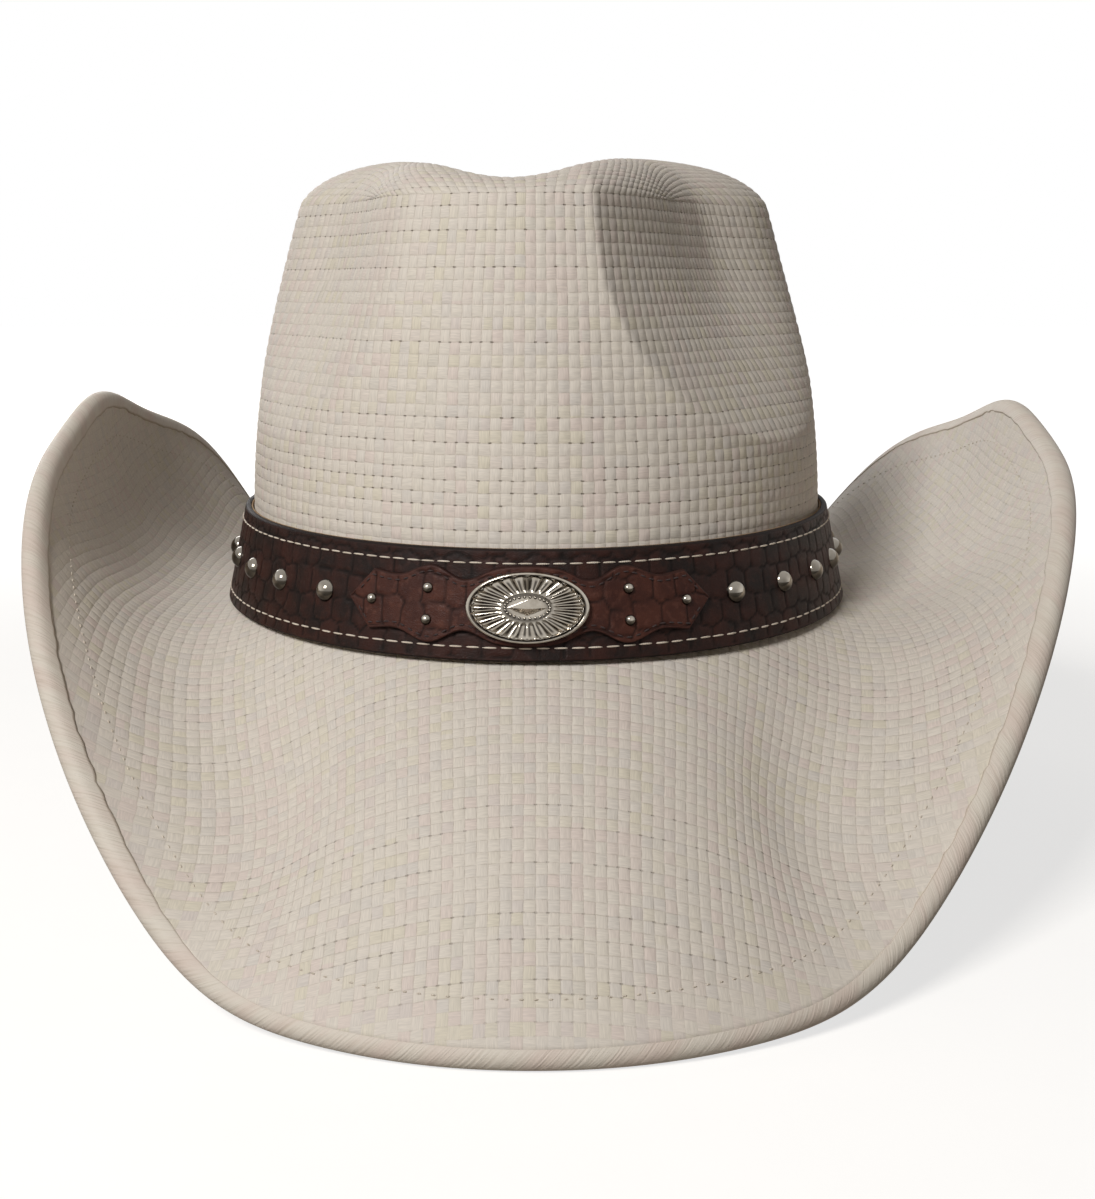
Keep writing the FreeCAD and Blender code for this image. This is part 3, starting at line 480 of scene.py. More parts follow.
@dataclass(frozen=True)
class BandForm:
    """Cone of the hatband, by angle or arc, height and offset from its inner face."""

    crown: CrownForm = field(default_factory=CrownForm)
    height: float = 26.6
    flare: float = 5.7
    clearance: float = 0.35
    strap_back: float = 0.55
    strap_face: float = 2.2
    overlay_back: float = 2.25
    overlay_face: float = 3.4
    plate_back: float = 3.45
    overlay_middle: float = -2.0

    def axes(self, height: Array, offset: Array) -> tuple[Array, Array]:
        """Half width and half length of the cone at a height and offset."""
        spread = self.clearance + offset + self.flare * (1 - height / self.height)
        return self.crown.half_width + spread, self.crown.half_length + spread

    def point(self, angle: Array, height: Array, offset: Array) -> Array:
        """Point of the cone: an ellipse at each height."""
        side, length = self.axes(height, offset)
        return points_of(side * np.sin(angle), -length * np.cos(angle), height)

    def angle_at(self, arc: Array) -> Array:
        """Angles for arcs from the front along the strap's mid height, by adding up steps.

        Args:
            arc: arcs from the front along the strap.

        Returns:
            Angles round the hat.
        """
        steps = np.linspace(0.0, np.pi, 2000)
        side, length = self.axes(self.height / 2, self.strap_face)
        speed = np.hypot(side * np.cos(steps), length * np.sin(steps))
        run = np.concatenate([[0.0], np.cumsum((speed[1:] + speed[:-1]) / 2 * np.diff(steps))])
        return np.sign(arc) * np.interp(np.abs(arc), run, steps)

    def half_arc(self) -> float:
        """Arc from the front to the back along the strap's mid height.

        Returns:
            Length of the arc.
        """
        side, length = self.axes(self.height / 2, self.strap_face)
        steps = np.linspace(0.0, np.pi, 2000)
        speed = np.hypot(side * np.cos(steps), length * np.sin(steps))
        return float(np.mean((speed[1:] + speed[:-1]) / 2) * np.pi)

    def seat(self, arc: Array, height: Array, offset: float) -> tuple[Array, Array, Array, Array]:
        """Places on the cone with their directions around, up and out.

        Args:
            arc: arcs from the front along the strap.
            height: heights over the band's lower edge.
            offset: distance out from the band's inner face.

        Returns:
            Places, and unit directions around, up and out.
        """
        angle = self.angle_at(np.asarray(arc, float))
        height = np.asarray(height, float)
        side, length = self.axes(height, offset)
        around = unit(points_of(side * np.cos(angle), length * np.sin(angle), 0.0))
        upward = unit(points_of(-np.sin(angle) * self.flare, np.cos(angle) * self.flare, self.height))
        outward = unit(np.cross(around, upward))
        return self.point(angle, height, offset), around, np.cross(outward, around), outward


def scale_grooves(x: Array, y: Array, width: float, height: float, seed: float) -> Array:
    """Grooves between embossed scales, from 0 on a scale to 1 in a groove.

    Each scale is the area nearest to its own point of a staggered lattice with
    jittered points. Distance is measured with fourth powers, which squares the
    scales. The groove follows the difference of the two nearest distances.

    Args:
        x: distance along the leather.
        y: distance across the leather.
        width: mean scale width.
        height: mean scale height.
        seed: picks the pattern.

    Returns:
        Groove mask of the same shape as x.
    """
    jitter, sharpness = 0.42, 0.13
    across, along = y / height, x / width
    nearest = np.full(np.broadcast(x, y).shape, 9.0)
    second = nearest.copy()
    for row_step in (-1, 0, 1):
        row = np.floor(across) + row_step
        shift = 0.5 * (row % 2)
        for column_step in (-1, 0, 1):
            column = np.floor(along - shift) + column_step
            middle_x = column + shift + 0.5 + jitter * (hashed(column, row, seed) - 0.5)
            middle_y = row + 0.5 + jitter * (hashed(column, row, seed + 1) - 0.5)
            gap = ((along - middle_x) ** 4 + (across - middle_y) ** 4) ** 0.25
            second = np.minimum(second, np.maximum(nearest, gap))
            nearest = np.minimum(nearest, gap)
    return 1 - smooth((second - nearest) / sharpness)


def plain_weave(column: Array, row: Array) -> Array:
    """Relief of flat strips woven over one, under one: each cell swells in its middle,
    more across the strip on top than along it. 1 is the top of a strip.

    Args:
        column: place along the cloth, counted in strips.
        row: place across it.

    Returns:
        Relief from 0 to 1.
    """
    parity = np.mod(np.floor(column) + np.floor(row), 2)
    u, v = column - np.floor(column), row - np.floor(row)
    across = np.where(parity > 0.5, v, u)
    along = np.where(parity > 0.5, u, v)
    return (1 - 0.75 * np.abs(2 * across - 1) ** 3) * (1 - 0.45 * np.abs(2 * along - 1) ** 3)


def linear(red: int, green: int, blue: int) -> tuple[float, float, float, float]:
    """Screen colour from 0 to 255 as the linear colour that shaders use.

    Args:
        red: red channel.
        green: green channel.
        blue: blue channel.

    Returns:
        Linear colour with an alpha of 1.
    """
    share = [channel / 255 for channel in (red, green, blue)]
    flat = [s / 12.92 if s <= 0.04045 else ((s + 0.055) / 1.055) ** 2.4 for s in share]
    return (flat[0], flat[1], flat[2], 1.0)


class Graph:
    """Adds nodes to one tree, and joins each as it is made."""

    def __init__(self, tree: bpy.types.NodeTree) -> None:
        """Work on that tree."""
        self.tree = tree

    def node(self, kind: str, **settings: object) -> bpy.types.Node:
        """New node with some of its settings.

        Args:
            kind: type of node.
            settings: its attributes.

        Returns:
            The new node.
        """
        made = self.tree.nodes.new(kind)
        for key, value in settings.items():
            setattr(made, key, value)
        return made

    def feed(self, socket: Socket, value: object) -> None:
        """Join a socket to another one, or give it a value.

        Args:
            socket: input to set.
            value: a socket, a constant, or None to leave it.
        """
        if isinstance(value, Socket):
            self.tree.links.new(value, socket)
        elif value is not None:
            socket.default_value = value

    def math(self, operation: str, first: object, second: object = None,
             third: object = None) -> Socket:
        """One arithmetic step.

        Args:
            operation: the step.
            first: first number.
            second: second number.
            third: third number.

        Returns:
            The result.
        """
        made = self.node("ShaderNodeMath", operation=operation)
        for socket, value in zip(made.inputs, (first, second, third)):
            self.feed(socket, value)
        return made.outputs[0]

    def mix(self, factor: object, first: object, second: object) -> Socket:
        """Number between two numbers.

        Args:
            factor: share of the second.
            first: first number.
            second: second number.

        Returns:
            The mixed number.
        """
        made = self.node("ShaderNodeMix", data_type="FLOAT")
        for index, value in ((0, factor), (2, first), (3, second)):
            self.feed(made.inputs[index], value)
        return made.outputs[0]

    def tint(self, factor: object, first: object, second: object, mode: str = "MIX") -> Socket:
        """Colour between two colours.

        Args:
            factor: share of the second.
            first: first colour.
            second: second colour.
            mode: way of mixing.

        Returns:
            The mixed colour.
        """
        made = self.node("ShaderNodeMix", data_type="RGBA", blend_type=mode)
        for index, value in ((0, factor), (6, first), (7, second)):
            self.feed(made.inputs[index], value)
        return made.outputs[2]

    def ease(self, value: object, low: object, high: object, start: float = 0.0,
             end: float = 1.0) -> Socket:
        """Smooth step of a value between two limits, put between start and end.

        Args:
            value: the number.
            low: where the step starts.
            high: where it ends.
            start: result below it.
            end: result above it.

        Returns:
            The eased number.
        """
        made = self.node("ShaderNodeMapRange", interpolation_type="SMOOTHSTEP")
        for socket, given in zip(made.inputs, (value, low, high, start, end)):
            self.feed(socket, given)
        return made.outputs[0]

    def vector(self, x: object, y: object, z: object = 0.0) -> Socket:
        """Vector from three numbers.

        Args:
            x: first part.
            y: second part.
            z: third part.

        Returns:
            The vector.
        """
        made = self.node("ShaderNodeCombineXYZ")
        for socket, value in zip(made.inputs, (x, y, z)):
            self.feed(socket, value)
        return made.outputs[0]

    def stretched(self, vector: Socket, x: float, y: float, z: float = 1.0) -> Socket:
        """Vector with each part multiplied by its own number.

        Args:
            vector: coordinates.
            x: first number.
            y: second number.
            z: third number.

        Returns:
            The stretched vector.
        """
        made = self.node("ShaderNodeVectorMath", operation="MULTIPLY")
        self.feed(made.inputs[0], vector)
        made.inputs[1].default_value = (x, y, z)
        return made.outputs[0]

    def parts(self, vector: Socket) -> tuple[Socket, Socket]:
        """First two parts of a vector.

        Args:
            vector: coordinates.

        Returns:
            The two numbers.
        """
        made = self.node("ShaderNodeSeparateXYZ")
        self.feed(made.inputs[0], vector)
        return made.outputs[0], made.outputs[1]

    def noise(self, vector: Socket, scale: float, detail: float = 2.0) -> Socket:
        """Cloudy noise from 0 to 1.

        Args:
            vector: coordinates.
            scale: clouds per unit.
            detail: finer octaves.

        Returns:
            The noise.
        """
        made = self.node("ShaderNodeTexNoise", noise_dimensions="3D")
        for name, value in (("Vector", vector), ("Scale", scale), ("Detail", detail)):
            self.feed(made.inputs[name], value)
        return made.outputs[0]

    def chance(self, vector: Socket) -> Socket:
        """One random number from 0 to 1 for each different vector.

        Args:
            vector: coordinates.

        Returns:
            The random number.
        """
        made = self.node("ShaderNodeTexWhiteNoise", noise_dimensions="2D")
        self.feed(made.inputs[0], vector)
        return made.outputs[0]

    def bump(self, height: Socket, depth: float, strength: float = 1.0,
             normal: Socket | None = None) -> Socket:
        """Normal that a height gives; depth is its full height in metres.

        Args:
            height: relief from 0 to 1.
            depth: its full height.
            strength: how much it counts.
            normal: normal under it.

        Returns:
            The new normal.
        """
        made = self.node("ShaderNodeBump")
        for name, value in (("Strength", strength), ("Distance", depth), ("Height", height)):
            self.feed(made.inputs[name], value)
        if normal is not None:
            self.feed(made.inputs["Normal"], normal)
        return made.outputs[0]

    def place(self, group: bpy.types.NodeTree, **values: object) -> bpy.types.Node:
        """Place a node group with values for its inputs; _ stands for a space.

        Args:
            group: the group.
            values: input values by name.

        Returns:
            The group's node.
        """
        made = self.node("ShaderNodeGroup", node_tree=group)
        for name, value in values.items():
            self.feed(made.inputs[name.replace("_", " ")], value)
        return made


def group_tree(name: str, inputs: dict[str, tuple[str, object]],
               outputs: tuple[str, ...]) -> tuple[bpy.types.NodeTree, Graph, dict, dict]:
    """Start a shader node group.

    Args:
        name: the group's name.
        inputs: for each input its socket type and default.
        outputs: names of the outputs, all of them numbers.

    Returns:
        The tree, a graph on it, its input sockets and its output sockets by name.
    """
    tree = bpy.data.node_groups.new(name, "ShaderNodeTree")
    for label, (kind, default) in inputs.items():
        socket = tree.interface.new_socket(label, in_out="INPUT", socket_type=kind)
        if default is not None:
            socket.default_value = default
    for label in outputs:
        tree.interface.new_socket(label, in_out="OUTPUT", socket_type="NodeSocketFloat")
    start, end = tree.nodes.new("NodeGroupInput"), tree.nodes.new("NodeGroupOutput")
    return (tree, Graph(tree), {label: start.outputs[label] for label in inputs},
            {label: end.inputs[label] for label in outputs})


def straw_weave_group() -> bpy.types.NodeTree:
    """Plain weave of flat straw strips, from coordinates counted in strips.

    Returns:
        Group with the relief, a mask of the gaps for painted shade, a random number per strip and per
        cell, fine fibres along each strip, and a mask of pinholes where strips cross, for the painted
        shade seen through them.
    """
    tree, graph, given, out = group_tree(
        "straw_weave",
        {"Cloth": ("NodeSocketVector", None), "Gap Width": ("NodeSocketFloat", 0.16)},
        ("Height", "Gap", "Strip", "Cell", "Fibre", "Pinhole"))
    raw_u, raw_v = graph.parts(given["Cloth"])
    wander = graph.noise(given["Cloth"], 0.45, 2.0)
    u = graph.math("ADD", raw_u, graph.math("MULTIPLY_ADD", wander, 0.24, -0.12))
    v = graph.math("ADD", raw_v, graph.math("MULTIPLY_ADD", wander, -0.2, 0.1))
    column, row = graph.math("FLOOR", u), graph.math("FLOOR", v)
    in_u, in_v = graph.math("FRACT", u), graph.math("FRACT", v)
    parity = graph.math("FLOORED_MODULO", graph.math("ADD", column, row), 2.0)
    across, along = graph.mix(parity, in_u, in_v), graph.mix(parity, in_v, in_u)
    side = graph.math("ABSOLUTE", graph.math("MULTIPLY_ADD", across, 2.0, -1.0))
    end = graph.math("ABSOLUTE", graph.math("MULTIPLY_ADD", along, 2.0, -1.0))
    swell = graph.math("MULTIPLY_ADD", graph.math("POWER", side, 4.0), -0.6, 1.0)
    dip = graph.math("MULTIPLY_ADD", graph.math("POWER", end, 3.0), -0.5, 1.0)
    graph.feed(out["Height"], graph.math("MULTIPLY", swell, dip))
    inner = graph.math("SUBTRACT", 1.0, given["Gap Width"])
    side_gap = graph.ease(side, inner, 1.0)
    end_gap = graph.math("MULTIPLY", graph.ease(end, inner, 1.0), 0.55)
    uneven = graph.ease(graph.noise(given["Cloth"], 1.7, 3.0), 0.36, 0.62, 0.15, 1.0)
    graph.feed(out["Gap"], graph.math("MULTIPLY", graph.math("MAXIMUM", side_gap, end_gap), uneven))
    strip = graph.mix(parity, column, graph.math("ADD", row, 57.0))
    length = graph.math("FLOOR", graph.math("MULTIPLY", graph.mix(parity, v, u), 0.11))
    graph.feed(out["Strip"], graph.chance(graph.vector(strip, length)))
    graph.feed(out["Cell"], graph.chance(graph.vector(column, row)))
    fibre_place = graph.vector(graph.math("MULTIPLY", graph.mix(parity, u, v), 9.0),
                               graph.math("MULTIPLY", graph.mix(parity, v, u), 0.8),
                               graph.math("MULTIPLY", parity, 13.0))
    graph.feed(out["Fibre"], graph.noise(fibre_place, 1.0, 3.0))
    near_u = graph.math("ABSOLUTE", graph.math("MULTIPLY_ADD", in_u, 2.0, -1.0))
    near_v = graph.math("ABSOLUTE", graph.math("MULTIPLY_ADD", in_v, 2.0, -1.0))
    spot = graph.math("MULTIPLY", graph.ease(near_u, 0.62, 0.86), graph.ease(near_v, 0.84, 0.96))
    crossing = graph.vector(graph.math("ROUND", u), graph.math("ROUND", v))
    chosen_row = graph.chance(graph.vector(graph.math("ROUND", v), 11.0))
    likely = graph.math("MULTIPLY", graph.ease(chosen_row, 0.6, 0.7),
                        graph.ease(graph.chance(crossing), 0.25, 0.6))
    graph.feed(out["Pinhole"], graph.math("MULTIPLY", spot, likely))
    return tree


def leather_group() -> bpy.types.NodeTree:
    """Grain of embossed leather, from distances along and across it in millimetres.

    Returns:
        Group with fine pores, slow patches of colour and rubbed high places.
    """
    tree, graph, given, out = group_tree(
        "leather_grain",
        {"Cloth": ("NodeSocketVector", None), "Groove": ("NodeSocketFloat", 0.0)},
        ("Pores", "Patch", "Rub"))
    pores = graph.node("ShaderNodeTexVoronoi", feature="DISTANCE_TO_EDGE")
    graph.feed(pores.inputs["Vector"], given["Cloth"])
    pores.inputs["Scale"].default_value = 2.1
    graph.feed(out["Pores"], graph.ease(pores.outputs["Distance"], 0.0, 0.22))
    graph.feed(out["Patch"], graph.ease(graph.noise(given["Cloth"], 0.11, 4.0), 0.34, 0.68))
    rub = graph.ease(graph.noise(given["Cloth"], 0.55, 5.0), 0.48, 0.72)
    flat = graph.math("SUBTRACT", 1.0, given["Groove"])
    graph.feed(out["Rub"], graph.math("MULTIPLY", rub, flat))
    return tree


def metal_group() -> bpy.types.NodeTree:
    """Handling marks on metal, from object coordinates in metres.

    Returns:
        Group with fine scratches and a slow tarnish.
    """
    tree, graph, given, out = group_tree(
        "metal_marks", {"Place": ("NodeSocketVector", None)}, ("Scratch", "Tarnish"))
    lines = graph.noise(graph.stretched(given["Place"], 900.0, 900.0, 4200.0), 1.0, 3.0)
    graph.feed(out["Scratch"], graph.ease(lines, 0.4, 0.75))
    graph.feed(out["Tarnish"], graph.ease(graph.noise(given["Place"], 420.0, 4.0), 0.42, 0.7))
    return tree


GROUPS: dict[str, bpy.types.NodeTree] = {}


def shared_group(name: str) -> bpy.types.NodeTree:
    """Shader node group by name, built once.

    Args:
        name: straw, leather or metal.

    Returns:
        The group.
    """
    makers = {"straw": straw_weave_group, "leather": leather_group, "metal": metal_group}
    if name not in GROUPS:
        GROUPS[name] = makers[name]()
    return GROUPS[name]


def new_material(name: str) -> tuple[bpy.types.Material, Graph, bpy.types.Node]:
    """Empty node material, a graph on it and its shader.

    Args:
        name: name of the material.

    Returns:
        The material, its graph and its shader.
    """
    material = bpy.data.materials.new(name)
    material.use_nodes = True
    graph = Graph(material.node_tree)
    return material, graph, material.node_tree.nodes["Principled BSDF"]


def cloth_place(graph: Graph) -> Socket:
    """Coordinates from the piece's own UV map."""
    return graph.node("ShaderNodeUVMap", uv_map=UV_NAME).outputs[0]


def mask_of(graph: Graph) -> Socket:
    """The piece's groove mask."""
    return graph.node("ShaderNodeAttribute", attribute_name=GROOVE).outputs["Fac"]


@dataclass(frozen=True)
class StrawFinish:
    """Woven straw, painted off-white and pressed."""

    name: str
    base: tuple[float, float, float, float] = linear(214, 205, 193)
    pink: tuple[float, float, float, float] = linear(212, 196, 187)
    yellow: tuple[float, float, float, float] = linear(210, 201, 180)
    grey: tuple[float, float, float, float] = linear(203, 196, 189)
    # The two darker colours below are painted shade: in the gaps between strips, and seen through the
    # pinholes.
    gap: tuple[float, float, float, float] = linear(140, 124, 102)
    pinhole_shade: tuple[float, float, float, float] = linear(86, 70, 54)
    gap_width: float = 0.16
    gap_shade_strength: float = 0.4
    pinhole_shade_strength: float = 0.7
    relief: float = 0.00022
    specular: float = 0.35

    def material(self) -> bpy.types.Material:
        """Weave, strip tints, fibres, and painted shade in the gaps and pinholes, in colour, roughness and
        relief.

        Returns:
            The new material.
        """
        material, graph, shader = new_material(self.name)
        cloth = cloth_place(graph)
        weave = graph.place(shared_group("straw"), Cloth=cloth, Gap_Width=self.gap_width)
        strip = weave.outputs["Strip"]
        pressed = mask_of(graph)
        colour = graph.tint(graph.ease(strip, 0.6, 1.0, 0.0, 0.7), self.base, self.pink)
        colour = graph.tint(graph.ease(strip, 0.25, 0.0, 0.0, 0.7), colour, self.yellow)
        colour = graph.tint(graph.ease(weave.outputs["Cell"], 0.7, 1.0, 0.0, 0.5), colour, self.grey)
        fibre = graph.ease(weave.outputs["Fibre"], 0.3, 0.72, 0.9, 1.06)
        colour = graph.tint(1.0, colour, graph.vector(fibre, fibre, fibre), "MULTIPLY")
        filled = graph.math("SUBTRACT", 1.0, graph.math("MULTIPLY", pressed, 0.75))
        # Painted shade in the gaps between strips, less where the straw is pressed.
        gap = graph.math("MULTIPLY", weave.outputs["Gap"], filled)
        colour = graph.tint(graph.math("MULTIPLY", gap, self.gap_shade_strength), colour, self.gap)
        # Painted shade seen through the pinholes where strips cross, also less where pressed.
        pinhole_shade = graph.math("MULTIPLY", weave.outputs["Pinhole"], filled)
        colour = graph.tint(graph.math("MULTIPLY", pinhole_shade, self.pinhole_shade_strength), colour, self.pinhole_shade)
        graph.feed(shader.inputs["Base Color"], colour)
        rough = graph.ease(weave.outputs["Fibre"], 0.3, 0.7, 0.62, 0.74)
        graph.feed(shader.inputs["Roughness"], rough)
        threads = graph.math("MULTIPLY_ADD", weave.outputs["Fibre"], 0.16, weave.outputs["Height"])
        deep = graph.math("MULTIPLY_ADD", pinhole_shade, -0.8, graph.math("MULTIPLY", threads, filled))
        graph.feed(shader.inputs["Normal"], graph.bump(deep, self.relief))
        shader.inputs["Specular IOR Level"].default_value = self.specular
        return material


@dataclass(frozen=True)
class RolledStrawFinish:
    """Straw wrapped round the brim's edge, with slanting fibres."""

    name: str = "rolled_straw"
    light: tuple[float, float, float, float] = linear(214, 205, 192)
    pink: tuple[float, float, float, float] = linear(211, 196, 184)
    shade: tuple[float, float, float, float] = linear(160, 142, 118)
    relief: float = 0.00035
    specular: float = 0.35

    def material(self) -> bpy.types.Material:
        """Slanting fibres over the length of the roll, with painted shade at the step along the lip's
        ragged edge.

        Returns:
            The new material.
        """
        material, graph, shader = new_material(self.name)
        along, around = graph.parts(cloth_place(graph))
        slant = graph.vector(graph.math("MULTIPLY_ADD", around, 0.9, along), around, 0.0)
        strand = graph.noise(graph.stretched(slant, 1.5, 0.09), 1.0, 4.0)
        patch = graph.noise(graph.stretched(slant, 0.09, 0.04), 1.0, 3.0)
        colour = graph.tint(graph.ease(patch, 0.4, 0.65), self.light, self.pink)
        colour = graph.tint(graph.ease(strand, 0.56, 0.3, 0.0, 0.22), colour, self.shade)
        # Painted shade at the step where the lip meets the brim's face.
        colour = graph.tint(graph.math("MULTIPLY", mask_of(graph), 0.6), colour, self.shade)
        graph.feed(shader.inputs["Base Color"], colour)
        graph.feed(shader.inputs["Roughness"], graph.ease(strand, 0.3, 0.7, 0.5, 0.66))
        graph.feed(shader.inputs["Normal"], graph.bump(strand, self.relief, 0.7))
        shader.inputs["Specular IOR Level"].default_value = self.specular
        return material


@dataclass(frozen=True)
class LeatherFinish:
    """Leather embossed with square scales and rubbed by wear."""

    name: str
    base: tuple[float, float, float, float]
    patch: tuple[float, float, float, float]
    groove: tuple[float, float, float, float]
    rub: tuple[float, float, float, float]
    gloss: float = 0.46
    relief: float = 0.00006
    specular: float = 0.14

    def material(self) -> bpy.types.Material:
        """Dark grooves, patches of dye, rubbed scales and fine pores.

        Returns:
            The new material.
        """
        material, graph, shader = new_material(self.name)
        mask = mask_of(graph)
        grain = graph.place(shared_group("leather"), Cloth=cloth_place(graph), Groove=mask)
        colour = graph.tint(grain.outputs["Patch"], self.base, self.patch)
        colour = graph.tint(graph.math("MULTIPLY", grain.outputs["Rub"], 0.35), colour, self.rub)
        colour = graph.tint(graph.math("MULTIPLY", mask, 0.85), colour, self.groove)
        graph.feed(shader.inputs["Base Color"], colour)
        rough = graph.math("MULTIPLY_ADD", mask, 0.25, self.gloss)
        rough = graph.math("MULTIPLY_ADD", grain.outputs["Rub"], -0.06, rough)
        graph.feed(shader.inputs["Roughness"], rough)
        graph.feed(shader.inputs["Normal"], graph.bump(grain.outputs["Pores"], self.relief, 0.6))
        shader.inputs["Specular IOR Level"].default_value = self.specular
        return material


@dataclass(frozen=True)
class MetalFinish:
    """Plated or plain metal with light handling marks."""

    name: str
    base: tuple[float, float, float, float]
    tarnish: tuple[float, float, float, float]
    rough: float
    patina: tuple[float, float, float, float] = linear(34, 28, 22)

    def material(self) -> bpy.types.Material:
        """Tarnish and patina in the colour, and painted shade on the caps' lower sides through the same
        mask, scratches in the roughness.

        Returns:
            The new material.
        """
        material, graph, shader = new_material(self.name)
        place = graph.node("ShaderNodeTexCoord").outputs["Object"]
        marks = graph.place(shared_group("metal"), Place=place)
        shade = graph.math("MULTIPLY", marks.outputs["Tarnish"], 0.4)
        colour = graph.tint(shade, self.base, self.tarnish)
        # The mask's dark colour is patina, and painted shade on the lower sides of the caps.
        colour = graph.tint(graph.math("MULTIPLY", mask_of(graph), 0.94), colour, self.patina)
        graph.feed(shader.inputs["Base Color"], colour)
        rough = graph.math("MULTIPLY_ADD", marks.outputs["Scratch"], 0.1, self.rough)
        graph.feed(shader.inputs["Roughness"], rough)
        shader.inputs["Metallic"].default_value = 1.0
        return material


@dataclass(frozen=True)
class ThreadFinish:
    """Twisted sewing thread."""

    name: str
    base: tuple[float, float, float, float]
    shade: tuple[float, float, float, float]
    relief: float = 0.0001

    def material(self) -> bpy.types.Material:
        """Slanting twist in colour and relief.

        Returns:
            The new material.
        """
        material, graph, shader = new_material(self.name)
        along, around = graph.parts(cloth_place(graph))
        twist = graph.math("FRACT", graph.math("MULTIPLY_ADD", along, 2.0, around))
        ply = graph.math("ABSOLUTE", graph.math("MULTIPLY_ADD", twist, 2.0, -1.0))
        dirt = graph.ease(graph.noise(graph.vector(along, 0.0), 0.13, 3.0), 0.35, 0.7, 0.0, 0.6)
        colour = graph.tint(graph.math("MAXIMUM", graph.math("MULTIPLY", ply, 0.35), dirt),
                            self.base, self.shade)
        graph.feed(shader.inputs["Base Color"], colour)
        graph.feed(shader.inputs["Normal"], graph.bump(ply, self.relief, 0.6))
        shader.inputs["Roughness"].default_value = 0.7
        return material


@dataclass(frozen=True)
class FabricFinish:
    """Knitted or woven cloth with fine upright ribs."""

    name: str
    base: tuple[float, float, float, float]
    shade: tuple[float, float, float, float]
    rib: float = 0.9
    relief: float = 0.00012

    def material(self) -> bpy.types.Material:
        """Fine ribs along the cloth's length, crossed by a finer weft, with painted shade in the hollows
        between ribs and darker worn patches.

        Returns:
            The new material.
        """
        material, graph, shader = new_material(self.name)
        cloth = cloth_place(graph)
        along, across = graph.parts(cloth)
        ribs = graph.math("SINE", graph.math("MULTIPLY", along, 2 * math.pi / self.rib))
        weft = graph.math("SINE", graph.math("MULTIPLY", across, 2 * math.pi / (self.rib * 0.6)))
        height = graph.math("MULTIPLY_ADD", weft, 0.3, ribs)
        worn = graph.noise(cloth, 0.2, 4.0)
        # Painted shade in the hollows between ribs, and darker worn patches.
        dark = graph.math("MULTIPLY_ADD", graph.ease(height, -1.2, 1.2), -0.4,
                          graph.ease(worn, 0.3, 0.7, 0.3, 0.8))
        colour = graph.tint(graph.ease(dark, 0.0, 1.0), self.base, self.shade)
        graph.feed(shader.inputs["Base Color"], colour)
        graph.feed(shader.inputs["Normal"], graph.bump(height, self.relief, 0.7))
        shader.inputs["Roughness"].default_value = 0.88
        return material


@dataclass(frozen=True)
class PlasticFinish:
    """Drawn plastic tube with faint lines and scuffs."""

    name: str = "sleeve_plastic"
    base: tuple[float, float, float, float] = linear(226, 222, 212)
    scuff: tuple[float, float, float, float] = linear(190, 184, 172)
    relief: float = 0.00005

    def material(self) -> bpy.types.Material:
        """Scuffs in colour and roughness.

        Returns:
            The new material.
        """
        material, graph, shader = new_material(self.name)
        place = graph.node("ShaderNodeTexCoord").outputs["Object"]
        scuffs = graph.ease(graph.noise(place, 260.0, 4.0), 0.45, 0.7)
        graph.feed(shader.inputs["Base Color"], graph.tint(scuffs, self.base, self.scuff))
        graph.feed(shader.inputs["Roughness"], graph.math("MULTIPLY_ADD", scuffs, 0.25, 0.4))
        graph.feed(shader.inputs["Normal"], graph.bump(scuffs, self.relief, 0.4))
        return material


CROWN_STRAW = StrawFinish("straw_crown")
BRIM_STRAW = StrawFinish("straw_brim", gap_width=0.14, gap_shade_strength=0.42, pinhole_shade_strength=0.3,
                         relief=0.0002)
STRAP_LEATHER = LeatherFinish("band_leather", linear(25, 16, 13), linear(50, 26, 20),
                              linear(10, 7, 5), linear(64, 37, 29))
OVERLAY_LEATHER = LeatherFinish("overlay_leather", linear(54, 28, 22), linear(72, 40, 31),
                                linear(22, 11, 8), linear(104, 66, 54), 0.42)
WHITE_THREAD = ThreadFinish("band_thread", linear(226, 214, 198), linear(150, 132, 112))
BROWN_THREAD = ThreadFinish("overlay_thread", linear(40, 18, 14), linear(18, 8, 6))
STRAW_THREAD = ThreadFinish("hem_thread", linear(210, 200, 185), linear(176, 162, 142))
NICKEL = MetalFinish("polished_nickel", linear(180, 172, 160), linear(128, 117, 100), 0.1)
STEEL = MetalFinish("plain_steel", linear(176, 172, 166), linear(120, 110, 98), 0.34)
LINING_CLOTH = FabricFinish("lining_cloth", linear(168, 138, 104), linear(116, 90, 62), 0.6)
SWEATBAND_CLOTH = FabricFinish("sweatband_cloth", linear(196, 176, 146), linear(136, 114, 86))


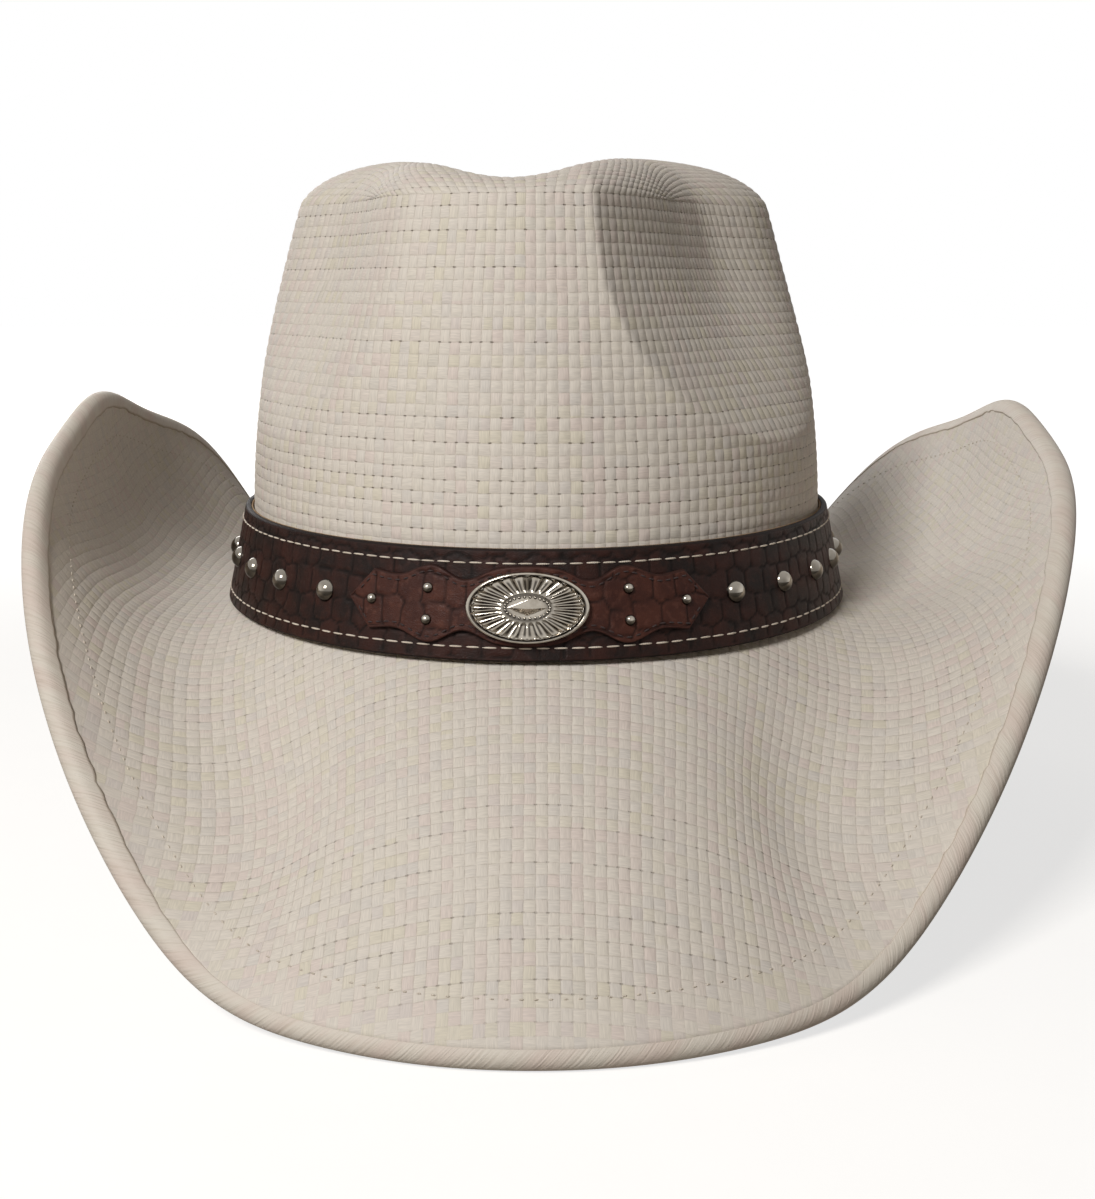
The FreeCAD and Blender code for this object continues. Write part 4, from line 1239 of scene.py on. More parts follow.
def stitches(mesh: Mesh, seats: tuple[Array, Array, Array, Array], length: float,
             thickness: float, sunk: float) -> None:
    """Add stitches: short threads that arch out of the leather and dip at both ends.

    The thread's middle line rises as the sine of its length; its section is a
    six-sided ring that narrows to its ends.

    Args:
        mesh: the piece to add to.
        seats: places, directions along, across and out, each (count, 3).
        length: length of a stitch.
        thickness: thread diameter.
        sunk: how far the middle line starts below the surface.
    """
    place, along, across, outward = seats
    share = np.linspace(0.0, 1.0, 6)
    rise = np.sin(share * np.pi) * (sunk + thickness * 0.3) - sunk
    radius = thickness / 2 * np.array([0.25, 0.85, 1.0, 1.0, 0.85, 0.25])
    turn = np.linspace(0, 2 * np.pi, 6, endpoint=False)
    for number in range(len(place)):
        line = (place[number] + along[number] * ((share - 0.5) * length)[:, None]
                + outward[number] * rise[:, None])
        ring = (across[number] * np.cos(turn)[:, None] + outward[number] * np.sin(turn)[:, None])
        body = line[:, None] + ring[None] * radius[:, None, None]
        ends = np.broadcast_to(line[[0, -1], None], (2, 6, 3))
        tube = np.concatenate([ends[:1], body, ends[1:]])
        steps = np.concatenate([[0.0], share, [1.0]]) * length + number * length
        uv = np.stack(np.broadcast_arrays(steps[:, None], np.linspace(0, 1, 7)[None]), axis=-1)
        mesh.grid(tube, uv, closed=True)


@dataclass
class Crown:
    """Creased crown, woven in upright ribs that run on across the top."""

    form: CrownForm = field(default_factory=CrownForm)
    ribs_per_side: int = 46
    rows: int = 36
    samples: int = 3
    relief: float = 0.3
    level_run: float = 95.0
    edge_run: float = 24.6

    def wall_grid(self, per_strip: int) -> tuple[Array, Array]:
        """Wall points and weave coordinates, from the foot up to the shoulder.

        Args:
            per_strip: points for each strip of straw.

        Returns:
            Points, and coordinates counted in strips.
        """
        columns = 4 * self.ribs_per_side * per_strip
        rows = self.rows * per_strip
        angle = -np.pi / 4 + 2 * np.pi * np.arange(columns) / columns
        height = self.form.split + (self.form.shoulder - self.form.split) * np.arange(rows + 1) / rows
        points = self.form.wall_point(angle[None], height[:, None] + 0 * angle[None])
        u = np.arange(columns + 1) / per_strip
        v = np.arange(rows + 1) / per_strip
        return points, np.stack(np.broadcast_arrays(u[None], v[:, None]), axis=-1)

    def top_grid(self, per_strip: int) -> tuple[Array, Array]:
        """Top points and weave coordinates: a square net drawn onto the oval.

        A point (p, q) of the square goes to (p sqrt(1 - q^2/2), q sqrt(1 - p^2/2)) of the
        disc. Rings are drawn towards the rim so that steps there stay even over the edge.

        Args:
            per_strip: points for each strip of straw.

        Returns:
            Points, and coordinates counted in strips.
        """
        cells = self.ribs_per_side * per_strip
        side = math.sqrt(2) * np.sin(np.linspace(-np.pi / 4, np.pi / 4, cells + 1))
        p, q = side[None], side[:, None]
        x, y = p * np.sqrt(1 - q ** 2 / 2), q * np.sqrt(1 - p ** 2 / 2)
        spread = np.minimum(np.hypot(x, y), 1.0)
        level, steep = self.level_run, self.edge_run
        root = (-steep + np.sqrt(steep ** 2 + 4 * level * (level + steep) * (1 - spread))) / (2 * level)
        points = self.form.top_point(np.arctan2(x, -y), np.clip(1 - root ** 2, 0.0, 1.0))
        steps = np.arange(cells + 1) / per_strip
        uv = np.stack(np.broadcast_arrays(steps[None], self.rows + steps[:, None]), axis=-1)
        return points, uv

    def net(self, per_strip: int, inward: float, relief: float) -> list[tuple[Array, Array]]:
        """Wall and top, moved inwards and swollen by the weave, with one shared rim.

        Args:
            per_strip: points for each strip of straw.
            inward: distance in from the outer surface.
            relief: depth of the weave.

        Returns:
            Points and coordinates of the wall, then of the top.
        """
        wall, wall_uv = self.wall_grid(per_strip)
        top, top_uv = self.top_grid(per_strip)
        swell = relief * (plain_weave(wall_uv[:, :-1, 0], wall_uv[:, :-1, 1]) - 1)
        fade = smooth((wall_uv[:, :-1, 1]) / 2)
        wall = wall + grid_normals(wall, True) * (swell * fade - inward)[..., None]
        swell = relief * (plain_weave(top_uv[..., 0], top_uv[..., 1]) - 1)
        top = top + grid_normals(top, False) * (swell - inward)[..., None]
        cells = self.ribs_per_side * per_strip
        rim = wall[-1]
        top[0, :cells] = rim[:cells]
        top[:cells, -1] = rim[cells:2 * cells]
        top[-1, :0:-1] = rim[2 * cells:3 * cells]
        top[:0:-1, 0] = rim[3 * cells:]
        return [(wall, wall_uv), (top, top_uv)]

    def build(self) -> None:
        """Outer net with real relief, plain inner net, and a level foot between them."""
        mesh = Mesh("crown_straw")
        (wall, wall_uv), (top, top_uv) = self.net(self.samples, 0.0, self.relief)
        mesh.grid(wall, wall_uv, closed=True)
        mesh.grid(top, top_uv)
        (inner, inner_uv), (roof, roof_uv) = self.net(1, self.form.wall, 0.0)
        angle = -np.pi / 4 + 2 * np.pi * np.arange(inner.shape[1]) / inner.shape[1]
        foot = self.form.wall_point(angle, np.full_like(angle, self.form.split))
        flat = np.hypot(foot[:, 0], foot[:, 1])[:, None]
        inner[0] = foot * np.concatenate([1 - self.form.wall / flat] * 2 + [np.ones_like(flat)], axis=1)
        mesh.grid(inner, inner_uv, closed=True)
        mesh.grid(roof, roof_uv)
        wide = np.repeat(inner[0], self.samples, axis=0)
        mesh.grid(np.stack([wall[0], wide]), closed=True, mask=1.0)
        mesh.build(CROWN_STRAW.material(), HAT, "straw", ("crown",))


@dataclass
class Brim:
    """Curled brim: one cloth, cut flat and pressed to shape, so its strips run straight."""

    form: BrimForm = field(default_factory=BrimForm)
    columns: int = 1000
    rows: int = 74
    under_columns: int = 500
    under_rows: int = 24
    bend_rows: int = 4
    strip: float = 2.95
    relief: float = 0.2
    wall: float = 1.5
    pressed_from: float = 16.0

    def sheet(self, columns: int, rows: int) -> tuple[Array, Array, Array]:
        """Upper face with its cloth coordinates and its distance from the edge.

        The cloth is flat before it is pressed: a point lies on it as far from the
        crown, straight out, as the brim's own length from the crown to the point.

        Args:
            columns: points round the hat.
            rows: points from the bend to the edge.

        Returns:
            Points, cloth coordinates, and distance from the edge.
        """
        angle = np.pi + 2 * np.pi * np.arange(columns) / columns
        bend_share = np.arange(self.bend_rows) / self.bend_rows
        bend = self.form.bend(*np.broadcast_arrays(angle[None], bend_share[:, None]))
        share = np.linspace(0.0, 1.0, rows)
        face = self.form.face(*np.broadcast_arrays(angle[None], share[:, None]))
        points = np.concatenate([bend, face])
        step = np.linalg.norm(np.diff(points, axis=0), axis=-1)
        run = np.concatenate([np.zeros((1, columns)), np.cumsum(step, axis=0)])
        plan = self.form.section(angle)[0]
        flat = points[:1, :, :2] + plan[None, :, :2] * run[..., None]
        cloth = np.concatenate([flat, flat[:, :1]], axis=1) / self.strip
        return points, cloth, run[-1:] - run

    def build(self) -> None:
        """Relief on the upper face, a plain lower face, and rims at foot and edge."""
        mesh = Mesh("brim_straw")
        points, cloth, inward = self.sheet(self.columns, self.rows)
        pressed = 1 - smooth(inward / self.pressed_from)
        swell = self.relief * (plain_weave(cloth[:, :-1, 0], cloth[:, :-1, 1]) - 1)
        swell = swell * (1 - 0.8 * pressed) * smooth(inward / 4)
        upper = points - grid_normals(points, True) * swell[..., None]
        mesh.grid(upper, cloth, closed=True, mask=pressed)
        points, cloth, inward = self.sheet(self.under_columns, self.under_rows)
        lower = points + grid_normals(points, True) * self.wall
        mesh.grid(lower, cloth, closed=True, mask=1 - smooth(inward / self.pressed_from))
        wide = np.repeat(lower, self.columns // self.under_columns, axis=1)
        mesh.grid(np.stack([upper[0], wide[0]]), closed=True, mask=1.0)
        mesh.grid(np.stack([upper[-1], wide[-1]]), closed=True, mask=1.0)
        mesh.build(BRIM_STRAW.material(), HAT, "straw", ("brim",))


@dataclass
class Hem:
    """Straw turned round the edge wire and sewn under the brim."""

    form: BrimForm = field(default_factory=BrimForm)
    columns: int = 700
    lip_width: tuple[float, float] = (1.7, 1.2)
    lip_front: float = 0.5
    lip_rise: tuple[float, float] = (0.04, 0.26)
    tuck: float = 0.15
    inner_radius: float = 1.6
    under_places: tuple[float, ...] = (6.0, 9.0, 12.0)
    throat: float = 3.2
    top_drop: float = 1.7
    foot_drop: float = 2.9
    stitch_row: float = 9.0
    stitch_pitch: float = 3.1
    stitch_length: float = 1.3
    thread: float = 0.34
    stitch_sunk: float = 0.2

    def roll(self, angle: Array, radius: Array | float, turn: float) -> Array:
        """Ring at one radius and one turn, in degrees from straight up, round the roll.

        Args:
            angle: angles round the hat.
            radius: distance from the roll's centre.
            turn: turn outwards in degrees.

        Returns:
            Points of the ring.
        """
        centre, outward, upward = self.form.edge_frame(angle)
        tilt = math.radians(turn)
        reach = np.broadcast_to(radius, angle.shape)[:, None]
        return centre + outward * reach * math.sin(tilt) + upward * reach * math.cos(tilt)

    def lip(self, angle: Array) -> tuple[Array, Array]:
        """Width and rise of the lip on the upper face: they grow with the curl, and the
        width wanders a little, most on the left.

        Args:
            angle: angles round the hat.

        Returns:
            Widths and rises.
        """
        curl = smooth(self.form.edge(angle)[1] / 0.3)
        wander = 0.25 * slow_noise(angle * 60, 3.0) + 0.2 * slow_noise(angle * 240, 5.0)
        sides = by_side(angle, *self.lip_width)
        width = self.lip_front + (sides - self.lip_front + wander) * curl
        return width, self.lip_rise[0] + (self.lip_rise[1] - self.lip_rise[0]) * curl

    def build(self) -> None:
        """One closed section, from the lip over the roll and under the brim."""
        angle = np.pi + 2 * np.pi * np.arange(self.columns) / self.columns
        lip, rise = self.lip(angle)
        level = np.ones_like(angle)
        rings = [self.form.near_edge(angle, lip, -self.tuck * level),
                 self.form.near_edge(angle, lip - self.tuck, rise),
                 self.form.near_edge(angle, lip * 0.6, rise * 1.1),
                 self.form.near_edge(angle, lip * 0.25, rise)]
        rings += [self.roll(angle, self.form.roll_radius
                            + 0.6 * rise * math.cos(math.radians(turn / 2)) ** 2, turn)
                  for turn in range(10, 181, 17)]
        rings += [self.form.near_edge(angle, inward * level, -self.foot_drop * level)
                  for inward in self.under_places]
        rings += [self.form.near_edge(angle, inward * level, -self.top_drop * level)
                  for inward in self.under_places[::-1] + (self.throat,)]
        rings += [self.roll(angle, self.inner_radius, turn) for turn in (225, 180, 135, 90, 45, 0)]
        rings.append(self.form.near_edge(angle, 1.5 * level, -0.4 * level))
        points = np.stack(rings + rings[:1])
        step = np.linalg.norm(np.diff(points, axis=0), axis=-1)
        around = np.concatenate([np.zeros((1, self.columns)), np.cumsum(step, axis=0)])
        run = np.linalg.norm(np.diff(points[8], axis=0, append=points[8][:1]), axis=-1)
        along = np.concatenate([[0.0], np.cumsum(run)])
        uv = np.stack([np.broadcast_to(along, (len(points), self.columns + 1)),
                       np.concatenate([around, around[:, :1]], axis=1)], axis=-1)
        # Mask of painted shade at the step along the lip's edge, deeper where the lip rises more.
        lip_step_shade = np.zeros(points.shape[:2])
        lip_step_shade[:2] = rise / self.lip_rise[1]
        mesh = Mesh("brim_hem_straw")
        mesh.grid(points, uv, closed=True, mask=lip_step_shade)
        mesh.build(RolledStrawFinish().material(), HAT, "straw_edge", ("brim_hem",))
        self.sew()

    def sew(self) -> None:
        """Row of stitches that shows on the brim's upper face."""
        fine = np.linspace(-np.pi, np.pi, 4001)
        line = self.form.near_edge(fine, np.full_like(fine, self.stitch_row), np.zeros_like(fine))
        step = np.linalg.norm(np.diff(line, axis=0), axis=-1)
        run = np.concatenate([[0.0], np.cumsum(step)])
        count = int(run[-1] / self.stitch_pitch)
        angle = np.interp(np.arange(count) * run[-1] / count, run, fine)
        inward = np.full(count, self.stitch_row)
        flat = np.zeros(count)
        place = self.form.near_edge(angle, inward, flat)
        ahead = self.form.near_edge(angle + self.form.step, inward, flat)
        along = unit(ahead - place)
        outward = unit(self.form.near_edge(angle, inward, flat + 1) - place)
        mesh = Mesh("hem_stitches")
        stitches(mesh, (place, along, np.cross(outward, along), outward), self.stitch_length,
                 self.thread, self.stitch_sunk)
        mesh.build(STRAW_THREAD.material(), HAT, "straw_edge")


@dataclass
class Sweatband:
    """Ribbed elastic band inside the crown's foot."""

    form: CrownForm = field(default_factory=CrownForm)
    low: float = 3.4
    waist: float = 16.0
    height: float = 34.0
    wall: float = 1.2
    gap: float = 0.3
    spread: float = 1.8
    lean: tuple[float, float] = (0.8, 2.0)
    columns: int = 720
    rib: float = 0.16
    edge_round: float = 0.6

    def skin(self, height: Array, inward: float, ribbed: float) -> Array:
        """Rings: ellipses joined straight from foot to waist to top, with sine ribs.

        Args:
            height: height of each ring.
            inward: distance in from the outer side.
            ribbed: depth of the ribs.

        Returns:
            Points of the rings.
        """
        angle = 2 * np.pi * np.arange(self.columns) / self.columns
        top = self.low + self.height
        knots = (self.low, self.waist, top)
        out_side = np.interp(height, knots, (self.spread, 0.0, -self.lean[0]))[:, None]
        out_long = np.interp(height, knots, (self.spread, 0.0, -self.lean[1]))[:, None]
        inset = self.form.wall + self.gap + inward + ribbed * np.sin(angle * self.columns / 6)[None]
        side = self.form.half_width + out_side - inset
        length = self.form.half_length + out_long - inset
        return points_of(side * np.sin(angle), -length * np.cos(angle), height[:, None])

    def build(self) -> None:
        """Closed section: ribbed inside, plain outside, rolled top."""
        top = self.low + self.height
        rows = np.linspace(self.low + self.edge_round, top - self.edge_round, 14)
        heights = np.concatenate([[self.low], rows, [top]])
        outer = self.skin(heights, 0.0, 0.0)
        inner = self.skin(heights, self.wall, self.rib)
        bead = self.skin(heights[[0, -1]], self.wall / 2, 0.0)
        points = np.concatenate([outer[1:-1], bead[1:], inner[1:-1][::-1], bead[:1], outer[1:2]])
        length = 2 * np.pi * (self.form.half_width + self.form.half_length) / 2
        along = np.linspace(0, length, self.columns + 1)
        step = np.linalg.norm(np.diff(points[:, 0], axis=0), axis=-1)
        across = np.concatenate([[0.0], np.cumsum(step)])
        uv = np.stack(np.broadcast_arrays(along[None], across[:, None]), axis=-1)
        mesh = Mesh("sweatband_elastic")
        mesh.grid(points, uv, closed=True)
        piece = mesh.build(SWEATBAND_CLOTH.material(), HAT, "sweatband_fabric", ("sweatband",))


def rounded_profile(low: float, high: float, back: float, face: float, radius: float,
                    rows: int) -> tuple[Array, Array, Array]:
    """Closed profile of a leather strip with rounded outer corners.

    Args:
        low: lower edge.
        high: upper edge.
        back: offset of the back.
        face: offset of the face.
        radius: radius of the two outer corners.
        rows: points across the face.

    Returns:
        Heights, offsets and the share of embossing, with an even number of points.
    """
    turn = np.linspace(0, np.pi / 2, 5)[:-1]
    flat = np.linspace(low + radius, high - radius, rows)
    heights = np.concatenate([[low + 0.2, low], low + radius - radius * np.cos(turn), flat,
                              high - radius + radius * np.sin(turn + np.pi / 8), [high, high - 0.2]])
    offsets = np.concatenate([[back, back + 0.2], face - radius + radius * np.sin(turn),
                              np.full(rows, face), face - radius + radius * np.cos(turn + np.pi / 8),
                              [back + 0.2, back]])
    inside = np.minimum(heights - low, high - heights)
    emboss = smooth((inside - 0.4) / 0.8) * (offsets > face - 0.01)
    return heights, offsets, emboss


@dataclass
class Strap:
    """Flared leather strap and its lining, sewn along both edges."""

    form: BandForm = field(default_factory=BandForm)
    columns: int = 1000
    rows: int = 46
    corner: float = 0.5
    scale_size: tuple[float, float] = (6.6, 6.1)
    emboss: float = 0.3
    edge_wear: float = 0.8
    end_gap: float = 0.5
    stitch_inset: float = 3.3
    stitch_pitch: float = 4.2
    stitch_length: float = 3.95
    thread: float = 0.46
    stitch_sunk: float = 0.22
    stitch_wander: float = 0.12
    end_clear: float = 2.0

    def build(self) -> None:
        """Strap, lining and two rows of stitches."""
        half = self.form.half_arc() - self.end_gap
        arc = np.linspace(-half, half, self.columns)
        angle = self.form.angle_at(arc)
        heights, offsets, share = rounded_profile(0.0, self.form.height, self.form.strap_back,
                                                  self.form.strap_face, self.corner, self.rows)
        groove = scale_grooves(arc[None], heights[:, None], *self.scale_size, 2.0) * share[:, None]
        groove *= smooth((half - np.abs(arc)) / 4)[None]
        points = self.form.point(angle[None], heights[:, None] + 0 * angle[None],
                                 offsets[:, None] - self.emboss * groove)
        uv = np.stack(np.broadcast_arrays(arc[None], heights[:, None]), axis=-1)
        worn = np.maximum(groove, self.edge_wear * (share[:, None] < PLAIN_SHARE))
        mesh = Mesh("band_strap_leather")
        mesh.grid(np.concatenate([points, points[:1]]), np.concatenate([uv, uv[:1]]),
                  mask=np.concatenate([worn, worn[:1]]))
        mesh.loop_caps(points[:, 0], points[:, -1])
        mesh.build(STRAP_LEATHER.material(), BAND, "band_leather", ("band_strap",))
        self.line()
        self.sew(half)

    def line(self) -> None:
        """Thin lining cloth, with a soft roll at its top edge."""
        half = self.form.half_arc() - self.end_gap
        arc = np.linspace(-half, half, 400)
        heights, offsets, _ = rounded_profile(0.0, self.form.height, 0.02, 0.48, 0.2, 8)
        points = self.form.point(self.form.angle_at(arc)[None], heights[:, None] + 0 * arc[None],
                                 offsets[:, None])
        uv = np.stack(np.broadcast_arrays(arc[None], heights[:, None]), axis=-1)
        mesh = Mesh("band_lining_cloth")
        mesh.grid(np.concatenate([points, points[:1]]), np.concatenate([uv, uv[:1]]))
        mesh.loop_caps(points[:, 0], points[:, -1])
        piece = mesh.build(LINING_CLOTH.material(), BAND, "band_lining", ("band_lining",))

    def sew(self, half: float) -> None:
        """White stitches inside both edges, each a little out of line.

        Args:
            half: half the strap's length.
        """
        sewn = half - self.end_clear
        count = int(2 * sewn / self.stitch_pitch)
        arc = (np.arange(count) + 0.5) * self.stitch_pitch - sewn
        mesh = Mesh("band_strap_stitches")
        for row, height in enumerate((self.stitch_inset, self.form.height - self.stitch_inset)):
            wander = self.stitch_wander * (hashed(np.arange(count), np.full(count, row), 8.0) - 0.5)
            place, along, upward, outward = self.form.seat(arc, height + wander, self.form.strap_face)
            stitches(mesh, (place, along, upward, outward), self.stitch_length, self.thread,
                     self.stitch_sunk)
        mesh.build(WHITE_THREAD.material(), BAND, "band_leather")


@dataclass
class Overlay:
    """Scalloped leather piece on the front, sewn round its edge."""

    form: BandForm = field(default_factory=BandForm)
    outline: tuple[tuple[float, float], ...] = (
        (0.0, 9.6), (7.5, 8.9), (15.5, 6.1), (24.0, 9.3), (33.0, 6.6), (40.5, 7.3), (47.5, 0.0))
    blunt: float = 0.25
    columns: int = 300
    rows: int = 34
    corner: float = 0.5
    scale_shift: float = 1.7
    scale_size: tuple[float, float] = (6.4, 7.0)
    emboss: float = 0.26
    stitch_inset: float = 1.5
    stitch_pitch: float = 2.3
    stitch_length: float = 1.7
    thread: float = 0.45
    stitch_sunk: float = 0.15
    tip_clear: float = 3.2

    def reach(self, arc: Array) -> Array:
        """Half height at an arc from the middle: smooth through the outline's points,
        straight from the last shoulder to the tip, and never under the blunt tip's.

        Args:
            arc: arcs from the overlay's middle.

        Returns:
            Half heights.
        """
        along = np.array([place for place, _ in self.outline])
        tall = np.array([height for _, height in self.outline])
        away = np.abs(arc)
        inner = np.concatenate([-along[1:-1][::-1], along[:-1]])
        heights = np.concatenate([tall[1:-1][::-1], tall[:-1]])
        curve = cubic_through(inner, heights, np.clip(away, 0, along[-2]))
        straight = tall[-2] * (along[-1] - away) / (along[-1] - along[-2])
        return np.maximum(np.where(away <= along[-2], curve, straight), self.blunt)

    def build(self) -> None:
        """Leather with rounded edges, and its stitches."""
        tip = self.outline[-1][0]
        arc = tip * np.sin(np.linspace(-np.pi / 2, np.pi / 2, self.columns))
        reach = self.reach(arc)
        across = np.sin(np.linspace(-np.pi / 2, np.pi / 2, self.rows))
        height = across[:, None] * reach[None]
        inside = np.minimum(reach[None] - np.abs(height), self.corner)
        inside = np.minimum(inside, ((tip - np.abs(arc)) * 0.6)[None])
        drop = self.corner - np.sqrt(np.maximum(self.corner ** 2 - (self.corner - inside) ** 2, 0.0))
        groove = scale_grooves(arc[None] + self.scale_shift, height, *self.scale_size, 9.0)
        groove = groove * smooth((reach[None] - np.abs(height) - 0.3) / 0.6)
        middle = self.form.height / 2
        angle = self.form.angle_at(arc + self.form.overlay_middle)[None]
        face = self.form.point(angle, middle + height,
                               self.form.overlay_face - drop - self.emboss * groove)
        back = self.form.point(angle, middle + height[[-1, 0]], self.form.overlay_back + 0 * height[:2])
        points = np.concatenate([face, back, face[:1]])
        uv = np.stack([np.broadcast_to(arc, height.shape), height], axis=-1)
        uv = np.concatenate([uv, uv[[-1, 0, 0]]])
        worn = np.maximum(groove, 0.7 * (inside < self.corner * 0.6))
        mesh = Mesh("front_overlay_leather")
        mesh.grid(points, uv, mask=np.concatenate([worn, 0 * worn[:2] + 1, worn[:1]]))
        mesh.loop_caps(points[:-1, 0], points[:-1, -1])
        mesh.build(OVERLAY_LEATHER.material(), BAND, "overlay_leather", ("front_overlay",))
        self.sew()

    def sew(self) -> None:
        """Dark stitches that follow the outline inside its edge."""
        sewn = self.outline[-1][0] - self.tip_clear
        fine = np.linspace(-sewn, sewn, 1500)
        mesh = Mesh("front_overlay_stitches")
        for flip in (1, -1):
            height = flip * np.maximum(self.reach(fine) - self.stitch_inset, 0.15)
            run = np.concatenate([[0.0], np.cumsum(np.hypot(np.diff(fine), np.diff(height)))])
            count = int(run[-1] / self.stitch_pitch)
            spots = (np.arange(count) + 0.5) * run[-1] / count
            arc, up = np.interp(spots, run, fine), np.interp(spots, run, height)
            tilt = np.interp(spots, run, np.arctan2(np.gradient(height), np.gradient(fine)))
            place, around, upward, outward = self.form.seat(
                arc + self.form.overlay_middle, self.form.height / 2 + up, self.form.overlay_face)
            along = around * np.cos(tilt)[:, None] + upward * np.sin(tilt)[:, None]
            stitches(mesh, (place, along, np.cross(outward, along), outward),
                     self.stitch_length, self.thread, self.stitch_sunk)
        mesh.build(BROWN_THREAD.material(), BAND, "overlay_leather")


def cubic_through(knots: Array, values: Array, place: Array) -> Array:
    """Smooth curve through points: a cubic between each two, whose slope at a point is
    that of the line through its two neighbours.

    Args:
        knots: places of the points, in rising order.
        values: heights of the points.
        place: where to read the curve.

    Returns:
        Heights of the curve.
    """
    slopes = np.gradient(values, knots)
    index = np.clip(np.searchsorted(knots, place) - 1, 0, len(knots) - 2)
    width = knots[index + 1] - knots[index]
    share = (place - knots[index]) / width
    rest = 1 - share
    return (values[index] * (1 + 2 * share) * rest ** 2 + slopes[index] * width * share * rest ** 2
            + values[index + 1] * (3 - 2 * share) * share ** 2
            - slopes[index + 1] * width * rest * share ** 2)


@dataclass
class BackTab:
    """Leather tab that joins the strap's ends at the back."""

    form: BandForm = field(default_factory=BandForm)
    length: float = 26.0
    rows: int = 40
    columns: int = 60
    corner: float = 0.5
    end_drop: float = 0.35
    scale_size: tuple[float, float] = (6.4, 6.6)
    emboss: float = 0.26
    edge_wear: float = 0.7
    stitch_inset: float = 2.2
    stitch_pitch: float = 2.4
    stitch_length: float = 1.7
    thread: float = 0.45
    stitch_sunk: float = 0.15

    def build(self) -> None:
        """Tab with rounded edges and embossed scales."""
        half = self.length / 2
        heights, offsets, share = rounded_profile(0.0, self.form.height, self.form.overlay_back,
                                                  self.form.overlay_face, self.corner, self.rows)
        x = half * np.sin(np.linspace(-np.pi / 2, np.pi / 2, self.columns))
        side, _ = self.form.axes(self.form.height / 2, self.form.overlay_face)
        angle = np.pi - np.arcsin(x / side)
        edge = smooth((half - np.abs(x)) / self.corner)
        groove = scale_grooves(x[None] + 2, heights[:, None], *self.scale_size, 4.0) * share[:, None]
        groove *= smooth((half - np.abs(x) - 0.3) / 0.6)[None]
        outer = offsets[:, None] > self.form.overlay_back + 0.3
        drop = np.where(outer, self.end_drop * (1 - edge)[None], 0.0)
        points = self.form.point(angle[None], heights[:, None] + 0 * angle[None],
                                 offsets[:, None] - drop - self.emboss * groove)
        uv = np.stack(np.broadcast_arrays(x[None], heights[:, None]), axis=-1)
        worn = np.maximum(groove, self.edge_wear * (share[:, None] < PLAIN_SHARE))
        mesh = Mesh("back_tab_leather")
        mesh.grid(np.concatenate([points, points[:1]]), np.concatenate([uv, uv[:1]]),
                  mask=np.concatenate([worn, worn[:1]]))
        mesh.loop_caps(points[:, 0], points[:, -1])
        mesh.build(OVERLAY_LEATHER.material(), BAND, "overlay_leather", ("back_tab",))
        self.sew(half)

    def sew(self, half: float) -> None:
        """Dark stitches near the four edges.

        Args:
            half: half the tab's length.
        """
        low, high = self.stitch_inset, self.form.height - self.stitch_inset
        left, right = -half + self.stitch_inset, half - self.stitch_inset
        x_line = np.arange(left, right + 0.1, self.stitch_pitch)
        h_line = np.arange(low, high + 0.1, self.stitch_pitch)
        thread = (self.stitch_length, self.thread, self.stitch_sunk)
        mesh = Mesh("back_tab_stitches")
        for height in (low, high):
            seats = self.centred(x_line, np.full_like(x_line, height))
            stitches(mesh, seats, *thread)
        for x in (left, right):
            place, around, upward, outward = self.centred(np.full_like(h_line, x), h_line)
            stitches(mesh, (place, upward, around, outward), *thread)
        mesh.build(BROWN_THREAD.material(), BAND, "overlay_leather")

    def centred(self, x: Array, height: Array) -> tuple[Array, Array, Array, Array]:
        """Seats at the back: seats at the front, turned half a turn about the axis."""
        seats = self.form.seat(x, height, self.form.overlay_face)
        return tuple(part * np.array([-1.0, -1.0, 1.0]) for part in seats)


